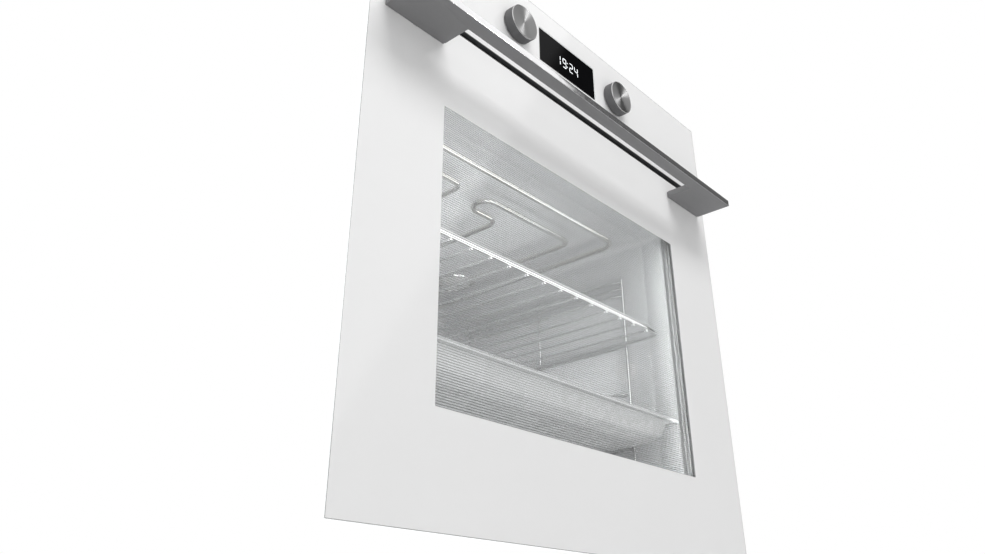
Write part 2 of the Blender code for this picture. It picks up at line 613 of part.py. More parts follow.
def handle():
    """A flat plate: two end blocks back to the door and a grip bar along the front."""
    outline = [(-HANDLE_HALF, -2), (-HANDLE_HALF, -HANDLE_REACH), (HANDLE_HALF, -HANDLE_REACH),
               (HANDLE_HALF, -2), (GRIP_HALF, -2), (GRIP_HALF, GRIP_D), (-GRIP_HALF, GRIP_D), (-GRIP_HALF, -2)]
    curve = bpy.data.curves.new("door_handle", "CURVE")
    curve.dimensions = "2D"
    curve.fill_mode = "BOTH"
    curve.extrude = (HANDLE_H[1] - HANDLE_H[0]) / 2 * MM
    spline = curve.splines.new("POLY")
    spline.points.add(len(outline) - 1)
    for point, (x, d) in zip(spline.points, outline):
        place = at(x, d, 0)
        point.co = (place.x, place.y, 0, 1)
    spline.use_cyclic_u = True
    bar = add("door_handle", curve, STEEL, (0, 0, (HANDLE_H[0] + HANDLE_H[1]) / 2 * MM))
    bpy.context.view_layer.update()
    bar = as_mesh(bar)
    middle = (HANDLE_H[0] + HANDLE_H[1]) / 2
    bores = [((x, -8, middle), 2.5 + GAP, 14) for x in (-BOLT_X, BOLT_X)]
    combine(bar, rods("handle_bores", bores, "d", sides=16))
    pieces = [bar]
    for side, sign in (("left", -1), ("right", 1)):
        x = sign * BOLT_X
        spacer = box(f"{side}_handle_spacer", (x - 30, x + 30), (-2 + GAP, -GAP),
                     (HANDLE_H[0] + 1, HANDLE_H[1] - 1), ALUMINIUM)
        combine(spacer, rods(f"{side}_spacer_bore", [((x, -1, middle), 2.5 + GAP, 10)], "d", sides=16))
        bolt = [(0, 12), (2.5, 12), (2.5, -GLASS - GAP), (5, -GLASS - GAP), (5, -8), (0, -8)]
        pieces += [spacer, turned(f"{side}_handle_bolt", bolt, (x, 0, middle), "d", ZINC, steps=16)]
    return pieces


def door():
    glass = box("door_outer_glass", (-HALF_FRONT, HALF_FRONT), (0, GLASS), (FRONT_LIFT, DOOR_TOP), WHITE_GLASS)
    middle = (HANDLE_H[0] + HANDLE_H[1]) / 2
    combine(glass, rods("glass_bolt_holes", [((x, 0, middle), 3.5, 20) for x in (-BOLT_X, BOLT_X)], "d",
                        sides=16))
    pieces = [glass,
              box("door_middle_glass", (-267, 267), (11, 11 + GLASS), (40, 460), CLEAR_GLASS),
              box("door_inner_glass", (-271, 271), INNER_GLASS_D, (32, 470), CLEAR_GLASS)]
    between = PROFILE_X[0] - GAP
    top = box("door_top_trim", (-between, between), PROFILE_D, (460.5, PROFILE_H[1]), BLACK_PLASTIC)
    slots = [((-240 + 40.5 * i, -210 + 40.5 * i), (9, 17), (450, 480)) for i in range(12)]
    combine(top, boxes("top_trim_slots", slots))
    bottom = box("door_bottom_trim", (-between, between), PROFILE_D, (10, 36), ALUMINIUM)
    slots = [((-240 + 40.5 * i, -210 + 40.5 * i), (9, 17), (0, 40)) for i in range(12)]
    combine(bottom, boxes("bottom_trim_slots", slots))
    pieces += [top, bottom]
    web = 2.0
    for side, x in both(*PROFILE_X).items():
        profile = box(f"door_{side}_profile", x, PROFILE_D, PROFILE_H, ALUMINIUM)
        channel = both(PROFILE_X[0] - 2, PROFILE_X[1] - web)[side]
        combine(profile, box(f"{side}_channel", channel, (PROFILE_D[0] + 1.7, PROFILE_D[1] - 1.7), (0, 480)))
        combine(profile, box(f"{side}_arm_window", channel, (0, 30), (0, 38)))
        centre = (x[0] + x[1]) / 2
        combine(profile, rods(f"{side}_pin_hole", [((centre, HINGE_D, HINGE_H), PIN_R + GAP, 40)], "x"))
        pieces.append(profile)
    hang(pivot("door_hinge", (0, HINGE_D, HINGE_H)), pieces + handle())


def hinges():
    """Arms fixed in the housing, whose pins carry the door's side profiles."""
    for side, x in both(*ARM_X).items():
        sign = -1 if side == "left" else 1
        arm = box(f"{side}_hinge_arm", x, (HINGE_D, 66), (HINGE_H - ARM_HALF, HINGE_H + ARM_HALF), ZINC)
        middle = sum(ARM_X) / 2
        eye = ((sign * middle, HINGE_D, HINGE_H), ARM_HALF - 0.05, ARM_X[1] - ARM_X[0] - 0.1)
        combine(arm, rods(f"{side}_eye", [eye], "x"), "UNION")
        pin = ((sign * (ARM_X[1] + 0.85), HINGE_D, HINGE_H), PIN_R, 5.7)
        combine(arm, rods(f"{side}_pin", [pin], "x"), "UNION")
        receiver_x = both(ARM_X[0] - 3.5, ARM_X[1] + 4)[side]
        receiver = box(f"{side}_hinge_receiver", receiver_x, (32.5, 80), (HINGE_H - 10, HINGE_H + 21), DARK_STEEL)
        slot = both(ARM_X[0] - 0.5, ARM_X[1] + 0.5)[side]
        combine(receiver, box(f"{side}_receiver_slot", slot, (30, 70), (HINGE_H - ARM_HALF - 0.5,
                                                                      HINGE_H + ARM_HALF + 0.5)))


clear_scene()
PARTS = new_collection("wall_oven")
CUTTERS = new_collection("cutters")
housing()
front_frame()
mounting_flanges()
cavity()
gasket()
heating_elements()
convection_fan()
fan_cover()
lamp_and_probe()
side_racks()
wire_shelf()
baking_tray()
cooling_fan()
electrics()
control_panel()
door()
hinges()
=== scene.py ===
"""Looks of the wall oven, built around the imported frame: finer pieces, materials, lights, stage and camera.

Sizes are in millimetres and become metres in at(). X runs to the right as seen from the front, D backwards
from the outer face of the glass, and H upwards from the surface that the oven stands on.
"""
import json
import math

import bmesh
import bpy
from mathutils import Matrix, Vector

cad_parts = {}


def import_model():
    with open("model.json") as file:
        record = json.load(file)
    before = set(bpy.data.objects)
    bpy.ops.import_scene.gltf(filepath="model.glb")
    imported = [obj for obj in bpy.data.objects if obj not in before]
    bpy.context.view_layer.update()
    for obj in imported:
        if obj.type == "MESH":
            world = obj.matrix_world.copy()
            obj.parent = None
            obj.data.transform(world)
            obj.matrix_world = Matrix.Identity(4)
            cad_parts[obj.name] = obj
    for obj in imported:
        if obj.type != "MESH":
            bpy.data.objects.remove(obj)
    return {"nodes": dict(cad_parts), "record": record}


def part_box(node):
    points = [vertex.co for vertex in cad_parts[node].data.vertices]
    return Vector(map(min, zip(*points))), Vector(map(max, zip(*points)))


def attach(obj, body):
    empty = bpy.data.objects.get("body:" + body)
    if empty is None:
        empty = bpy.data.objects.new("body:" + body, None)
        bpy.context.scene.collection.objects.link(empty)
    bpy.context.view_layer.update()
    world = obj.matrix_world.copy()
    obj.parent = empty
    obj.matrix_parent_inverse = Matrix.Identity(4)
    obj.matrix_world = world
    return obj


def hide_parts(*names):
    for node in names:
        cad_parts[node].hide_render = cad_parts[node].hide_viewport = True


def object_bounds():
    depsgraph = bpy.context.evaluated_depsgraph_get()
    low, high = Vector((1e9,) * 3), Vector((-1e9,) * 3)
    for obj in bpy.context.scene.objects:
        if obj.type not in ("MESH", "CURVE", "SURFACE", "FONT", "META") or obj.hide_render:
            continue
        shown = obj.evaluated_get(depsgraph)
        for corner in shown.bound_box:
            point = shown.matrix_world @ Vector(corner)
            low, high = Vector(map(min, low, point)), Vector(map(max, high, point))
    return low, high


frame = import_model()
CAD_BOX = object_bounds()

MM = 0.001
FRONT_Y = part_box("door_outer_glass")[0].y
NODES = frame["nodes"]


def at(x, d, h):
    """The world position, in metres, of a place in the oven."""
    return Vector((x * MM, FRONT_Y + d * MM, h * MM))


def spans(node):
    """The (low, high) pairs of a CAD node along X, D and H, in millimetres."""
    low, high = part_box(node)
    return [(low.x / MM, high.x / MM), ((low.y - FRONT_Y) / MM, (high.y - FRONT_Y) / MM),
            (low.z / MM, high.z / MM)]


def half(node):
    """How far a CAD node reaches to the right of the middle."""
    return spans(node)[0][1]


SIDES = (("left", -1), ("right", 1))

# Places that a node gives
KNOB_X, KNOB_H = sum(spans("temperature_knob")[0]) / 2, sum(spans("function_knob")[2]) / 2
BOLT_X, BOLT_H = (sum(spans("right_handle_bolt")[axis]) / 2 for axis in (0, 2))
LAMP_X, LAMP_D = (sum(spans("lamp_lens")[axis]) / 2 for axis in (0, 1))
LAMP_R = (spans("lamp_lens")[0][1] - spans("lamp_lens")[0][0]) / 2
NUT_D, NUT_H = (sum(spans("right_rack_nut")[axis]) / 2 for axis in (1, 2))

# Places and sizes that are finer than the nodes
WINDOW_X, WINDOW_H = (-200.3, 199.6), (96.8, 381.1)
GRIP_X, GRIP_D = 204.0, -33.0
LINER_WALL = 1.2
ELEMENT_R = 3.3
RAIL_H = (146.0, 165.2, 217.0, 277.0, 350.0, 360.0, 370.0)
SHELF_H, SHELF_FRONT_H = 280.7, 281.6

# ---------------------------------------- materials

def join(tree, value, socket):
    """Links a value to a socket if it comes from a node, and writes it there if it doesn't."""
    if isinstance(value, bpy.types.NodeSocket):
        tree.links.new(value, socket)
    else:
        socket.default_value = value


def add_node(tree, kind, inputs, **settings):
    """A new shader node with its inputs set or linked."""
    node = tree.nodes.new("ShaderNode" + kind)
    for name, value in settings.items():
        setattr(node, name, value)
    for socket, value in inputs.items():
        join(tree, value, node.inputs[socket])
    return node


def map_range(tree, value, low, high, to_low=0.0, to_high=1.0):
    inputs = {"Value": value, "From Min": low, "From Max": high, "To Min": to_low, "To Max": to_high}
    return add_node(tree, "MapRange", inputs).outputs["Result"]


class Look:
    """A material with one Principled shader, and short calls for the nodes that drive it."""

    def __init__(self, name, colour, roughness, metallic=0.0, **extra):
        self.material = bpy.data.materials.new(name)
        self.material.use_nodes = True
        self.tree = self.material.node_tree
        self.shader = self.tree.nodes["Principled BSDF"]
        self.set({"Base Color": (*colour, 1.0), "Roughness": roughness, "Metallic": metallic})
        self.set({name.replace("_", " ").title(): value for name, value in extra.items()})

    def set(self, values):
        for socket, value in values.items():
            join(self.tree, value, self.shader.inputs[socket])

    def add(self, kind, inputs, **settings):
        return add_node(self.tree, kind, inputs, **settings)

    def place(self, scale=(1, 1, 1), turn=(0, 0, 0)):
        """The piece's own coordinates, in metres."""
        here = self.add("TexCoord", {}).outputs["Object"]
        return self.add("Mapping", {"Vector": here, "Scale": scale, "Rotation": turn}).outputs["Vector"]

    def noise(self, scale, stretch=(1, 1, 1), detail=3.0):
        inputs = {"Vector": self.place(stretch), "Scale": scale, "Detail": detail}
        return self.add("TexNoise", inputs).outputs["Fac"]

    def range(self, value, low, high, *to):
        return map_range(self.tree, value, low, high, *to)

    def math(self, operation, a, b=0.0):
        return self.add("Math", {0: a, 1: b}, operation=operation).outputs[0]

    def blend(self, amount, a, b):
        a, b = (c if isinstance(c, bpy.types.NodeSocket) else (*c, 1.0) for c in (a, b))
        inputs = {"Factor": amount, 6: a, 7: b}
        return self.add("Mix", inputs, data_type="RGBA").outputs[2]

    def bump(self, height, strength, distance=0.0005):
        inputs = {"Height": height, "Strength": strength, "Distance": distance}
        self.set({"Normal": self.add("Bump", inputs).outputs["Normal"]})

    def swap(self, shader):
        """Puts another shader in the place of the Principled one."""
        self.tree.nodes.remove(self.shader)
        join(self.tree, shader, self.tree.nodes["Material Output"].inputs["Surface"])


def brushed(name, colour, along, roughness=(0.26, 0.40), depth=0.10):
    """Metal with fine scratches along one axis."""
    look = Look(name, colour, roughness[0], 1.0)
    stretch = {"x": (0.012, 1, 1), "d": (1, 0.012, 1), "h": (1, 1, 0.012)}[along]
    grain = look.noise(2600, stretch)
    wear = look.noise(9, detail=2.0)
    look.set({"Base Color": look.blend(look.range(grain, 0.35, 0.65), [c * 0.86 for c in colour], colour)})
    uneven = look.math("MULTIPLY_ADD", wear, 0.08)
    look.set({"Roughness": look.math("ADD", look.range(grain, 0.3, 0.7, *roughness), uneven)})
    look.bump(grain, depth)
    return look.material


def spun(name, colour, roughness=0.36, anisotropic=0.92):
    """Metal turned on a lathe: a fine grain, and the bright bow that turning gives."""
    look = Look(name, colour, roughness, 1.0, anisotropic=anisotropic)
    tangent = look.add("Tangent", {}, direction_type="RADIAL", axis="Y")
    look.set({"Tangent": tangent.outputs[0], "Anisotropic Rotation": 0.25})
    grain = look.noise(2200, detail=2.0)
    look.set({"Base Color": look.blend(look.range(grain, 0.3, 0.7), [c * 0.9 for c in colour], colour)})
    look.set({"Roughness": look.range(grain, 0.3, 0.7, roughness - 0.03, roughness + 0.03)})
    return look.material


def plated(name, colour, roughness):
    """Bright plating with slight haze and unevenness."""
    look = Look(name, colour, roughness, 1.0)
    haze = look.noise(160, detail=4.0)
    look.set({"Roughness": look.range(haze, 0.3, 0.7, roughness - 0.03, roughness + 0.06)})
    look.set({"Base Color": look.blend(haze, [c * 0.93 for c in colour], colour)})
    return look.material


def heated_tube(name):
    """Element tube: dull steel with straw and blue tints from the heat."""
    look = Look(name, (0.78, 0.78, 0.77), 0.2, 1.0)
    tint, haze = look.noise(7, detail=2.0), look.noise(300)
    straw = look.blend(look.range(tint, 0.40, 0.60), (0.80, 0.78, 0.74), (0.80, 0.80, 0.79))
    look.set({"Base Color": look.blend(look.range(haze, 0.45, 0.8), straw, (0.66, 0.68, 0.70))})
    look.set({"Roughness": look.range(haze, 0.3, 0.7, 0.14, 0.24)})
    look.bump(haze, 0.05)
    return look.material


def enamel(name, colour, roughness=0.2):
    """Vitreous enamel: glossy, faintly wavy, with tiny pale flecks."""
    look = Look(name, colour, roughness, coat_weight=0.6, coat_roughness=0.08)
    flecks = look.range(look.noise(1400, detail=1.0), 0.70, 0.74)
    cloud = look.noise(30)
    ground = look.blend(cloud, [c * 0.93 for c in colour], [c * 1.05 for c in colour])
    look.set({"Base Color": look.blend(flecks, ground, [min(1.0, c * 1.9 + 0.1) for c in colour])})
    look.set({"Roughness": look.range(cloud, 0.3, 0.7, roughness - 0.04, roughness + 0.06)})
    look.bump(look.noise(220, detail=2.0), 0.035)
    return look.material


def galvanised(name):
    """Zinc-coated sheet: spangles of differing brightness and sheen, with light handling marks."""
    look = Look(name, (0.60, 0.61, 0.62), 0.4, 0.9)
    drift = look.add("TexNoise", {"Vector": look.place(), "Scale": 40.0}).outputs["Color"]
    bent = look.add("Mix", {"Factor": 0.06, 4: look.place(), 5: drift}, data_type="VECTOR").outputs[1]
    grains = look.add("TexVoronoi", {"Vector": bent, "Scale": 95.0}).outputs["Color"]
    shade = look.add("SeparateColor", {"Color": grains}).outputs
    marks = look.range(look.noise(22, (1, 1, 0.3), 5.0), 0.55, 0.8)
    ground = look.blend(shade[0], (0.50, 0.51, 0.52), (0.68, 0.69, 0.70))
    look.set({"Base Color": look.blend(look.math("MULTIPLY", marks, 0.5), ground, (0.44, 0.44, 0.44))})
    look.set({"Roughness": look.range(shade[1], 0.0, 1.0, 0.32, 0.50)})
    look.bump(shade[2], 0.04)
    return look.material


def moulded(name, colour, roughness=0.5):
    """Moulded plastic or rubber with a fine spark-eroded grain."""
    look = Look(name, colour, roughness)
    grain = look.noise(1500, detail=2.0)
    dull = look.noise(18)
    look.set({"Base Color": look.blend(dull, [c * 0.88 for c in colour], [min(1, c * 1.08) for c in colour])})
    look.set({"Roughness": look.range(dull, 0.3, 0.7, roughness - 0.06, roughness + 0.06)})
    look.bump(grain, 0.12)
    return look.material


def wool(name):
    """Mineral wool: matted fibres in a straw colour."""
    look = Look(name, (0.60, 0.55, 0.42), 0.95)
    fibres = look.noise(420, (1, 0.25, 1), 6.0)
    look.set({"Base Color": look.blend(look.range(fibres, 0.3, 0.7), (0.44, 0.38, 0.26), (0.74, 0.69, 0.56))})
    look.bump(fibres, 0.7, 0.002)
    return look.material


def circuit(name):
    """Laminate board with copper tracks under green lacquer."""
    look = Look(name, (0.03, 0.16, 0.07), 0.35, coat_weight=0.5)
    tracks = look.add("TexBrick", {"Vector": look.place(turn=(0, 0, 0.8)), "Scale": 90.0,
                                   "Mortar Size": 0.08, "Color1": (0.03, 0.15, 0.06, 1),
                                   "Color2": (0.04, 0.18, 0.08, 1), "Mortar": (0.10, 0.32, 0.12, 1)})
    look.set({"Base Color": tracks.outputs["Color"]})
    look.bump(tracks.outputs["Fac"], 0.1)
    return look.material


def painted_glass(name, colour):
    """White enamel fired on to polished glass: an even colour under a clear, very smooth face."""
    look = Look(name, colour, 0.45, coat_weight=0.5, coat_roughness=0.015)
    look.set({"Specular IOR Level": 0.1})
    cloud = look.noise(6, detail=2.0)
    look.set({"Base Color": look.blend(cloud, [c * 0.985 for c in colour], colour)})
    look.set({"Roughness": look.range(cloud, 0.3, 0.7, 0.42, 0.48)})
    return look.material


def clear_pane(name, tint, dust=0.0, mirror=0.5):
    """A thin clear pane: light goes straight through, and the outer face alone mirrors."""
    look = Look(name, tint, 0.05)
    sheen = look.add("Fresnel", {"IOR": 1.5}).outputs[0]
    front = look.math("SUBTRACT", 1.0, look.add("NewGeometry", {}).outputs["Backfacing"])
    both = look.math("MULTIPLY", look.math("MULTIPLY", sheen, mirror), front)
    smudge = look.range(look.noise(14, detail=4.0), 0.35, 0.75, 0.0, 0.02)
    gloss = look.add("BsdfGlossy", {"Color": (1, 1, 1, 1), "Roughness": smudge}).outputs[0]
    through = look.add("BsdfTransparent", {"Color": (*tint, 1)}).outputs[0]
    if dust:
        haze = look.add("BsdfDiffuse", {"Color": (0.8, 0.8, 0.8, 1)}).outputs[0]
        through = look.add("MixShader", {0: dust, 1: through, 2: haze}).outputs[0]
    look.swap(look.add("MixShader", {0: both, 1: through, 2: gloss}).outputs[0])
    return look.material


def black_glass(name):
    """The dark filter glass over the display, with a non-reflecting coat and faint smears."""
    look = Look(name, (0.002, 0.002, 0.0025), 0.04)
    smear = look.noise(25, detail=4.0)
    look.set({"Specular IOR Level": 0.02, "Roughness": look.range(smear, 0.3, 0.7, 0.03, 0.08)})
    look.set({"Base Color": look.blend(smear, (0.0015, 0.0015, 0.002), (0.003, 0.003, 0.0035))})
    return look.material


def pane_edge(name):
    """The ground edge of a pane, with a faint glow painted in: painted light that makes the edge look as
    bright as lit glass.
    """
    # the emission is painted light: the edge glows though it is no lamp
    look = Look(name, (0.88, 0.90, 0.90), 0.3, emission_strength=0.25)
    frost = look.noise(900, detail=2.0)
    look.set({"Emission Color": look.blend(frost, (0.93, 0.96, 0.96), (1.0, 1.0, 1.0))})
    look.bump(frost, 0.1)
    return look.material


def glowing(name, colour, strength):
    """A lit display segment, very slightly uneven."""
    look = Look(name, (0.0, 0.0, 0.0), 0.3, emission_strength=strength)
    look.set({"Emission Color": look.blend(look.noise(300, detail=1.0), [c * 0.92 for c in colour], colour)})
    return look.material


LOOKS = {name: make(name, *values) for name, make, *values in (
    ("white_print", painted_glass, (0.80, 0.80, 0.80)),
    ("pane_edge", pane_edge),
    ("edge_line", moulded, (0.34, 0.34, 0.34), 0.3),
    ("pane_print", clear_pane, (0.80, 0.81, 0.81)),
    ("clear_glass", clear_pane, (0.985, 0.988, 0.988), 0.02),
    ("lamp_glass", moulded, (0.45, 0.455, 0.45), 0.25),
    ("nut_plate", moulded, (0.46, 0.46, 0.46), 0.3),
    ("bulb_glass", clear_pane, (0.97, 0.97, 0.95), 0.15),
    ("screen_print", moulded, (0.19, 0.19, 0.19), 0.6),
    ("black_glass", black_glass),
    ("digit_light", glowing, (0.95, 0.98, 1.0), 1.6),
    ("handle_steel", brushed, (0.37, 0.37, 0.375), "x"),
    ("handle_front", plated, (0.60, 0.60, 0.605), 0.10),
    ("knob_side", brushed, (0.24, 0.24, 0.245), "d", (0.26, 0.38)),
    ("knob_face", spun, (0.21, 0.21, 0.21)),
    ("knob_rim", plated, (0.42, 0.42, 0.42), 0.2),
    ("chrome", plated, (0.90, 0.90, 0.90), 0.12),
    # a darker copy of the chrome for the shelf's lip: painted shade
    ("dull_plate", plated, (0.66, 0.66, 0.66), 0.3),
    ("element", heated_tube),
    ("motor_steel", brushed, (0.36, 0.36, 0.37), "h", (0.35, 0.5)),
    ("enamel", enamel, (0.42, 0.425, 0.43)),
    ("frame_enamel", enamel, (0.34, 0.342, 0.345)),
    ("tray_enamel", enamel, (0.37, 0.375, 0.375), 0.26),
    ("zinc", galvanised),
    ("aluminium", brushed, (0.74, 0.74, 0.75), "h", (0.30, 0.42), 0.05),
    ("black_plastic", moulded, (0.03, 0.03, 0.032)),
    ("grey_plastic", moulded, (0.62, 0.62, 0.62)),
    ("rubber", moulded, (0.26, 0.26, 0.265), 0.7),
    ("wool", wool),
    ("circuit", circuit),
)}

# Looks of the record's material slots, where they go by another name, and of single nodes
SLOT_LOOKS = {"brushed_steel": "handle_steel", "element_steel": "element", "chromed_wire": "chrome",
              "zinc_sheet": "zinc", "mineral_wool": "wool", "circuit_board": "circuit",
              "white_glass": "white_print"}
NODE_LOOKS = {"front_frame": "frame_enamel", "control_panel_bracket": "black_plastic",
              "baking_tray": "tray_enamel", "lamp_bulb": "bulb_glass"}


def dress_nodes():
    """Gives each CAD node its material, after the material slot that the record names for it."""
    for part in frame["record"]["subparts"]:
        node, slot = NODES[part["node"]], part["material_slot"]
        look = NODE_LOOKS.get(part["node"], SLOT_LOOKS.get(slot, slot))
        node.data.materials.clear()
        node.data.materials.append(LOOKS[look])


def ease_edges(names, width, segments=2):
    """Rounds the edges of CAD nodes that stay in view, where faces meet at more than a flat angle."""
    same_place, flat_angle = 0.01, 50
    for name in names:
        weld = NODES[name].modifiers.new("Weld", "WELD")
        weld.merge_threshold = same_place * MM
        ease = NODES[name].modifiers.new("Bevel", "BEVEL")
        ease.width = width * MM
        ease.segments = segments
        ease.limit_method = "ANGLE"
        ease.angle_limit = math.radians(flat_angle)
        NODES[name].modifiers.new("Normals", "WEIGHTED_NORMAL")


# ---------------------------------------- shapes

def new_object(name, data):
    obj = bpy.data.objects.new(name, data)
    bpy.context.scene.collection.objects.link(obj)
    return obj


def piece(name, data, looks, body, replaces=()):
    """A new piece, with its materials, on a CAD body."""
    obj = new_object(name, data)
    for look in looks.split():
        data.materials.append(LOOKS[look])
    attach(obj, body)
    if replaces:
        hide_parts(*replaces)
    return obj


def to_mesh(name, bm, sharp=32):
    """The finished mesh, smooth except over edges sharper than an angle in degrees."""
    bmesh.ops.recalc_face_normals(bm, faces=bm.faces)
    mesh = bpy.data.meshes.new(name)
    bm.to_mesh(mesh)
    bm.free()
    mesh.shade_smooth()
    mesh.set_sharp_from_angle(angle=math.radians(sharp))
    return mesh


def rounded(points, radius, closed=False, steps=8):
    """The route with each corner turned into an arc: one radius, or one for each corner."""
    points = [Vector(p) for p in points]
    count = len(points)
    route = []
    for i, corner in enumerate(points):
        size = radius[i] if isinstance(radius, (list, tuple)) else radius
        if size == 0 or (not closed and i in (0, count - 1)):
            route.append(corner)
            continue
        back = (points[i - 1] - corner).normalized()
        ahead = (points[(i + 1) % count] - corner).normalized()
        opening = back.angle(ahead) / 2
        centre = corner + (back + ahead).normalized() * (size / math.sin(opening))
        start = (corner + back * (size / math.tan(opening)) - centre).normalized()
        end = (corner + ahead * (size / math.tan(opening)) - centre).normalized()
        route += [centre + start.slerp(end, step / steps) * size for step in range(steps + 1)]
    return route


def circle(u, v, radius, steps=32):
    """A closed loop of points, anticlockwise."""
    turn = [2 * math.pi * i / steps for i in range(steps)]
    return [Vector((u + radius * math.cos(t), v + radius * math.sin(t))) for t in turn]


def rectangle(u, v, corner=0.0, steps=6):
    """A closed loop round the ranges u and v, anticlockwise, with rounded corners."""
    points = [Vector((u[0], v[0])), Vector((u[1], v[0])), Vector((u[1], v[1])), Vector((u[0], v[1]))]
    return rounded(points, corner, closed=True, steps=steps)


def tubes(name, paths, radius, look, body, replaces=(), closed=False, fineness=4):
    """Round wires along routes of (x, d, h) points, as one curve: one radius, or one for each."""
    radii = radius if isinstance(radius, list) else [radius] * len(paths)
    curve = bpy.data.curves.new(name, "CURVE")
    curve.dimensions = "3D"
    curve.bevel_depth = max(radii) * MM
    curve.bevel_resolution = fineness
    curve.use_fill_caps = True
    for path, size in zip(paths, radii):
        spline = curve.splines.new("POLY")
        spline.points.add(len(path) - 1)
        for point, spot in zip(spline.points, path):
            point.co = (*at(*spot), 1.0)
            point.radius = size / max(radii)
        spline.use_cyclic_u = closed
        spline.use_smooth = True
    piece(name, curve, look, body, replaces)


AXIS_TURN = {"x": Matrix.Rotation(math.pi / 2, 4, "Y"), "-x": Matrix.Rotation(-math.pi / 2, 4, "Y"),
             "-d": Matrix.Rotation(math.pi / 2, 4, "X"), "d": Matrix.Rotation(-math.pi / 2, 4, "X"),
             "h": Matrix.Identity(4)}


def spin_into(bm, profile, centre, axis, steps):
    """Turns a profile of (radius, distance along the axis) pairs about an axis through centre."""
    place = Matrix.Translation(at(*centre)) @ AXIS_TURN[axis]
    rings = []
    for radius, along in profile:
        if radius == 0:
            rings.append([bm.verts.new(place @ Vector((0, 0, along * MM)))])
            continue
        turns = [2 * math.pi * i / steps for i in range(steps)]
        rings.append([bm.verts.new(place @ (Vector((radius * math.cos(t), radius * math.sin(t), along)) * MM))
                      for t in turns])
    for a, b in zip(rings, rings[1:]):
        for i in range(steps):
            j = (i + 1) % steps
            corners = [a[i % len(a)], a[j % len(a)], b[j % len(b)], b[i % len(b)]]
            corners = list(dict.fromkeys(corners))  # a point on the axis is one corner, not two
            if len(corners) > 2:
                bm.faces.new(corners)


def turned(name, profiles, axis, looks, body, replaces=(), steps=64, faces=None):
    """Turned pieces in one object, each given as its centre and profile. faces picks each face's look."""
    bm = bmesh.new()
    for centre, profile in profiles:
        spin_into(bm, profile, centre, axis, steps)
    mesh = to_mesh(name, bm)
    piece(name, mesh, looks, body, replaces)
    if faces:
        for face in mesh.polygons:
            face.material_index = faces(face)


def bridge(bm, rings, flip=False):
    """Joins each ring of points to the next one with quads."""
    for a, b in zip(rings, rings[1:]):
        for i in range(len(a)):
            j = (i + 1) % len(a)
            bm.faces.new((a[i], b[i], b[j], a[j]) if flip else (a[i], a[j], b[j], b[i]))


def inset(loop, amount):
    """The loop moved sideways to its left by amount."""
    moved = []
    for i, point in enumerate(loop):
        before = (point - loop[i - 1]).normalized()
        after = (loop[(i + 1) % len(loop)] - point).normalized()
        left, right = Vector((-before.y, before.x)), Vector((-after.y, after.x))
        moved.append(point + (left + right) * (amount / (1 + left.dot(right))))
    return moved


def round_rows(levels, ease):
    """Rows of (level, distance in from the edge) for a plate with both edges rounded."""
    turn = [math.pi / 2 * i / 3 for i in range(4)]
    low = [(levels[0] + ease * (1 - math.cos(t)), ease * (1 - math.sin(t))) for t in turn]
    return low + [(levels[1] - ease * (1 - math.cos(t)), ease * (1 - math.sin(t))) for t in reversed(turn)]


def glass_rows(levels):
    """Rows for a pane: a fine line along the face, then the ground slant at its edge."""
    low, high = levels
    return [(low, 1.1), (low, 0.5), (low + 0.2, 0.2), (low + 0.6, 0.0), (high - 0.4, 0.0), (high, 0.4)]


def plate_into(bm, outline, holes, rows, spot, patches=(None, None)):
    """A flat plate with holes, its edges shaped by rows of (level, distance in from the edge), and with
    patches of another look on its two faces. Outline and patches run anticlockwise; spot turns
    (u, v, level) into a position. Materials: 0 faces, 1 patches, 2 edges, 3 the row next to the face."""
    loops = [outline] + [list(reversed(hole)) for hole in holes]
    levels = rows[0][0], rows[-1][0]
    caps = [[], []]
    for loop in loops:
        rings = []
        for level, shrink in rows:
            ring = inset(loop, shrink) if shrink else loop
            rings.append([bm.verts.new(spot(p.x, p.y, level)) for p in ring])
        for row, (a, b) in enumerate(zip(rings, rings[1:])):
            for i in range(len(loop)):
                j = (i + 1) % len(loop)
                bm.faces.new((a[i], a[j], b[j], b[i])).material_index = 2 if row else 3
        for cap, ring in zip(caps, (rings[0], rings[-1])):
            cap += [bm.edges.get((ring[i - 1], ring[i])) for i in range(len(ring))]
    for cap, level, patch in zip(caps, levels, patches):
        if patch:
            ring = [bm.verts.new(spot(p.x, p.y, level)) for p in patch]
            cap += [bm.edges.new((ring[i - 1], ring[i])) for i in range(len(ring))]
            bm.faces.new(ring).material_index = 1
        bmesh.ops.triangle_fill(bm, edges=cap, use_beauty=True)


def upright(x, h, d):
    """The position for a plate that stands parallel to the front. For one that lies level, it is at()."""
    return at(x, d, h)


def blocks_into(bm, places, ease=0.0):
    """Boxes given as (X, D, H) ranges, their edges rounded by ease."""
    for x, d, h in places:
        low, high = at(x[0], d[0], h[0]), at(x[1], d[1], h[1])
        size = Matrix.Diagonal((*(high - low), 1.0))
        made = bmesh.ops.create_cube(bm, size=1.0, matrix=Matrix.Translation((low + high) / 2) @ size)
        if ease:
            edges = list({e for v in made["verts"] for e in v.link_edges})
            bmesh.ops.bevel(bm, geom=edges, offset=ease * MM, segments=2, profile=0.5, affect="EDGES")


def blocks(name, places, look, body, replaces=(), ease=0.0):
    """Boxes in one object."""
    bm = bmesh.new()
    blocks_into(bm, places, ease)
    piece(name, to_mesh(name, bm), look, body, replaces)


# ---------------------------------------- front

PANE_CORNER = 1.2


def window_span(over):
    """The window's X and H ranges, made longer by over at each end."""
    return [(low - over, high + over) for low, high in (WINDOW_X, WINDOW_H)]


